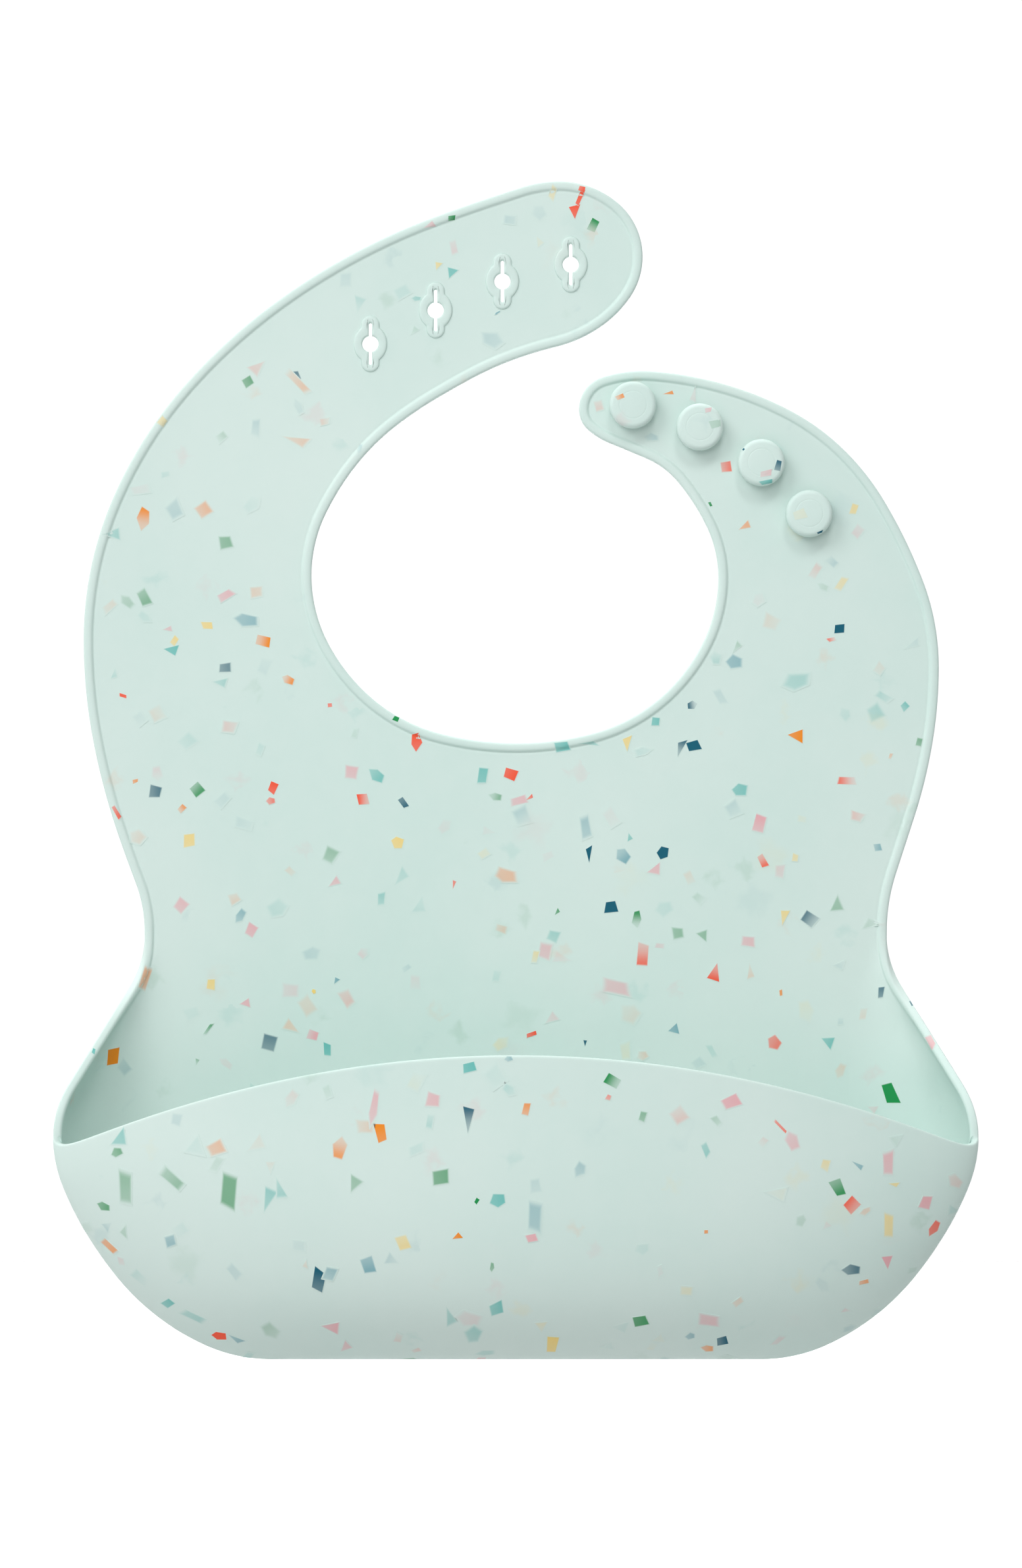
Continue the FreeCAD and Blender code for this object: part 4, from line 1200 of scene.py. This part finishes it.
def ghost_flecks(nodes, place, colour, scale, chance, solid, turn):
    """Adds faint blurred flecks deep in the silicone: some cells of a scattered pattern, each with a tint."""
    ragged = nodes.add("ShaderNodeTexNoise")
    nodes.join(place, ragged.inputs["Vector"])
    ragged.inputs["Scale"].default_value = 260.0
    warped = nodes.add("ShaderNodeVectorMath", operation="MULTIPLY_ADD")
    nodes.join(ragged.outputs["Color"], warped.inputs[0])
    warped.inputs[1].default_value = (0.006, 0.006, 0.006)
    nodes.join(place, warped.inputs[2])
    turned = nodes.add("ShaderNodeMapping")
    nodes.join(warped.outputs[0], turned.inputs["Vector"])
    turned.inputs["Rotation"].default_value = turn
    place = turned.outputs[0]
    cells = nodes.add("ShaderNodeTexVoronoi", feature="F1", distance="CHEBYCHEV")
    nodes.join(place, cells.inputs["Vector"])
    cells.inputs["Scale"].default_value = scale
    cells.inputs["Randomness"].default_value = 1.0
    channels = nodes.add("ShaderNodeSeparateColor")
    nodes.join(cells.outputs["Color"], channels.inputs[0])
    chosen = nodes.spread(channels.outputs[0], 1 - chance - 0.01, 1 - chance, 0.0, 1.0)
    body = nodes.spread(cells.outputs["Distance"], 0.06, 0.34, solid, 0.0)
    ramp = nodes.add("ShaderNodeValToRGB")
    ramp.color_ramp.interpolation = "CONSTANT"
    stops = ramp.color_ramp.elements
    for number, tint in enumerate(GHOST_TINTS):
        position = number / len(GHOST_TINTS)
        stop = stops[0] if number == 0 else stops.new(position)
        stop.position = position
        stop.color = (*COLOURS[tint], 1.0)
    nodes.join(channels.outputs[1], ramp.inputs[0])
    return nodes.mix(nodes.times(chosen, body), colour, ramp.outputs[0])


def silicone(name, with_chips=False, roughness=0.52):
    """Pale mint matte silicone. A chip's tint fades into it by the amount stored at each of its points."""
    nodes = Nodes(name)
    place = nodes.attribute("rest", "Vector")
    cloud = nodes.spread(nodes.noise(place, 13.0), 0.35, 0.65, 0.0, 1.0)
    colour = nodes.mix(cloud, MINT_LIGHT, MINT_DEEP)
    mottle = nodes.spread(nodes.noise(place, 150.0, 3.0), 0.3, 0.7, 0.0, 0.16)
    colour = nodes.mix(mottle, colour, (0.73, 0.85, 0.81))
    colour = ghost_flecks(nodes, place, colour, 120.0, 0.16, 0.13, (0.2, 0.7, 0.1))
    colour = ghost_flecks(nodes, place, colour, 71.0, 0.10, 0.08, (0.1, -0.4, 0.3))
    if with_chips:
        colour = nodes.mix(nodes.attribute("amount", "Fac"), colour, nodes.attribute("tint", "Color"))
    nodes.join(colour, nodes.shader.inputs["Base Color"])
    patches = nodes.spread(nodes.noise(place, 60.0, 4.0), 0.25, 0.75, roughness - 0.06, roughness + 0.06)
    nodes.join(patches, nodes.shader.inputs["Roughness"])
    nodes.shader.inputs["IOR"].default_value = 1.30
    grain = nodes.add("ShaderNodeBump")
    grain.inputs["Strength"].default_value = 0.12
    grain.inputs["Distance"].default_value = 0.00004
    nodes.join(nodes.noise(place, 2600.0, 3.0, 0.6), grain.inputs["Height"])
    wave = nodes.add("ShaderNodeBump")
    wave.inputs["Strength"].default_value = 0.25
    wave.inputs["Distance"].default_value = 0.0003
    nodes.join(nodes.noise(place, 38.0, 2.0), wave.inputs["Height"])
    nodes.join(grain.outputs[0], wave.inputs["Normal"])
    nodes.join(wave.outputs[0], nodes.shader.inputs["Normal"])
    return nodes.material


mint = silicone("mint_silicone")
button_mint = silicone("button_silicone", roughness=0.47)
chip_mint = silicone("chips_in_silicone", with_chips=True)

for region, item in skins.items():
    item.data.materials.append(mint)
    attach(item, region)
for item in rims:
    item.data.materials.append(mint)
for item in buttons:
    item.data.materials.append(button_mint)

CHIP_NODES = {
    "apron_skin": "lap_chips",
    "chest_skin": "chest_chips",
    "hole_strap_skin": "hole_strap_chips",
    "hole_tab_skin": "hole_tab_chips",
}
for name, chips in sorted(chip_sets.items()):
    flakes = name.replace("_skin", "").replace("_shell", "") + "_flakes"
    item = mesh_object(flakes, chips.points, chips.faces, crease_angle=60)
    tint = item.data.attributes.new("tint", "FLOAT_COLOR", "POINT")
    tint.data.foreach_set("color", [value for colour in chips.tints for value in (*colour, 1.0)])
    amount = item.data.attributes.new("amount", "FLOAT", "POINT")
    amount.data.foreach_set("value", chips.amounts)
    item.data.materials.append(chip_mint)
    if name in CHIP_NODES:
        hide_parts(CHIP_NODES[name])
    if name.endswith("_head"):
        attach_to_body(item, BUTTON_BODIES[int(name.split("_")[1]) - 1])
    else:
        attach(item, name)

# ---------------------------------------------------------------- floor, light and camera
FLOOR_Z = -0.29
bpy.ops.mesh.primitive_plane_add(size=1.0, location=(0, -9.4, FLOOR_Z))
floor = bpy.context.object
floor.name = "studio_floor"
floor.scale = (40.0, 21.2, 1.0)
pale = Nodes("studio_floor")
pale.shader.inputs["Base Color"].default_value = (0.50, 0.50, 0.50, 1.0)
pale.shader.inputs["Roughness"].default_value = 0.9
floor.data.materials.append(pale.material)

world = bpy.data.worlds.new("white_studio")
world.use_nodes = True
tree = world.node_tree
background = tree.nodes["Background"]
background.inputs["Color"].default_value = (1.0, 1.0, 1.0, 1.0)
around = tree.nodes.new("ShaderNodeTexCoord")
# The room is brightest overhead, behind and to the left, and falls off towards the lower right in front.
brightest = tree.nodes.new("ShaderNodeVectorMath")
brightest.operation = "DOT_PRODUCT"
brightest.inputs[1].default_value = Vector((-0.36, 0.50, 0.36)).normalized()
tree.links.new(around.outputs["Generated"], brightest.inputs[0])
falling = tree.nodes.new("ShaderNodeMath")
falling.operation = "MULTIPLY_ADD"
falling.inputs[1].default_value = 0.71
falling.inputs[2].default_value = 0.60
tree.links.new(brightest.outputs["Value"], falling.inputs[0])
darkest = tree.nodes.new("ShaderNodeMath")
darkest.operation = "MAXIMUM"
darkest.inputs[1].default_value = 0.04
tree.links.new(falling.outputs[0], darkest.inputs[0])
tree.links.new(darkest.outputs[0], background.inputs["Strength"])
bpy.context.scene.world = world


def soft_lamp(name, place, target, size, power, spread=180):
    lamp = bpy.data.lights.new(name, "AREA")
    lamp.spread = math.radians(spread)
    lamp.shape = "DISK"
    lamp.size = size
    lamp.energy = power
    item = bpy.data.objects.new(name, lamp)
    bpy.context.collection.objects.link(item)
    item.location = place
    item.rotation_euler = (Vector(target) - Vector(place)).to_track_quat("-Z", "Y").to_euler()


soft_lamp("key_lamp", (-0.85, -1.05, 0.95), (0, 0, -0.05), 0.9, 8.0)
soft_lamp("fill_lamp", (-0.2, -1.75, 0.35), (0, 0, -0.05), 0.8, 6.0)
soft_lamp("apron_lamp", (0.12, -0.75, 0.8), (0, 0, -0.13), 0.3, 0.085, spread=30)
soft_lamp("floor_lamp", (0, 0.75, 1.0), (0, 0.75, FLOOR_Z), 1.1, 7.5, spread=50)

# Level, and straight in front of the bib.
CAMERA_PLACE = (-0.0012, -1.3, -0.0549)
camera = bpy.data.cameras.new("front_camera")
camera.lens = 116.5
camera.sensor_width = 36.0
camera.clip_start = 0.05
camera_item = bpy.data.objects.new("front_camera", camera)
bpy.context.collection.objects.link(camera_item)
camera_item.location = CAMERA_PLACE
camera_item.rotation_euler = (math.pi / 2, 0, 0)
bpy.context.scene.camera = camera_item
bpy.context.scene.view_settings.view_transform = "Standard"
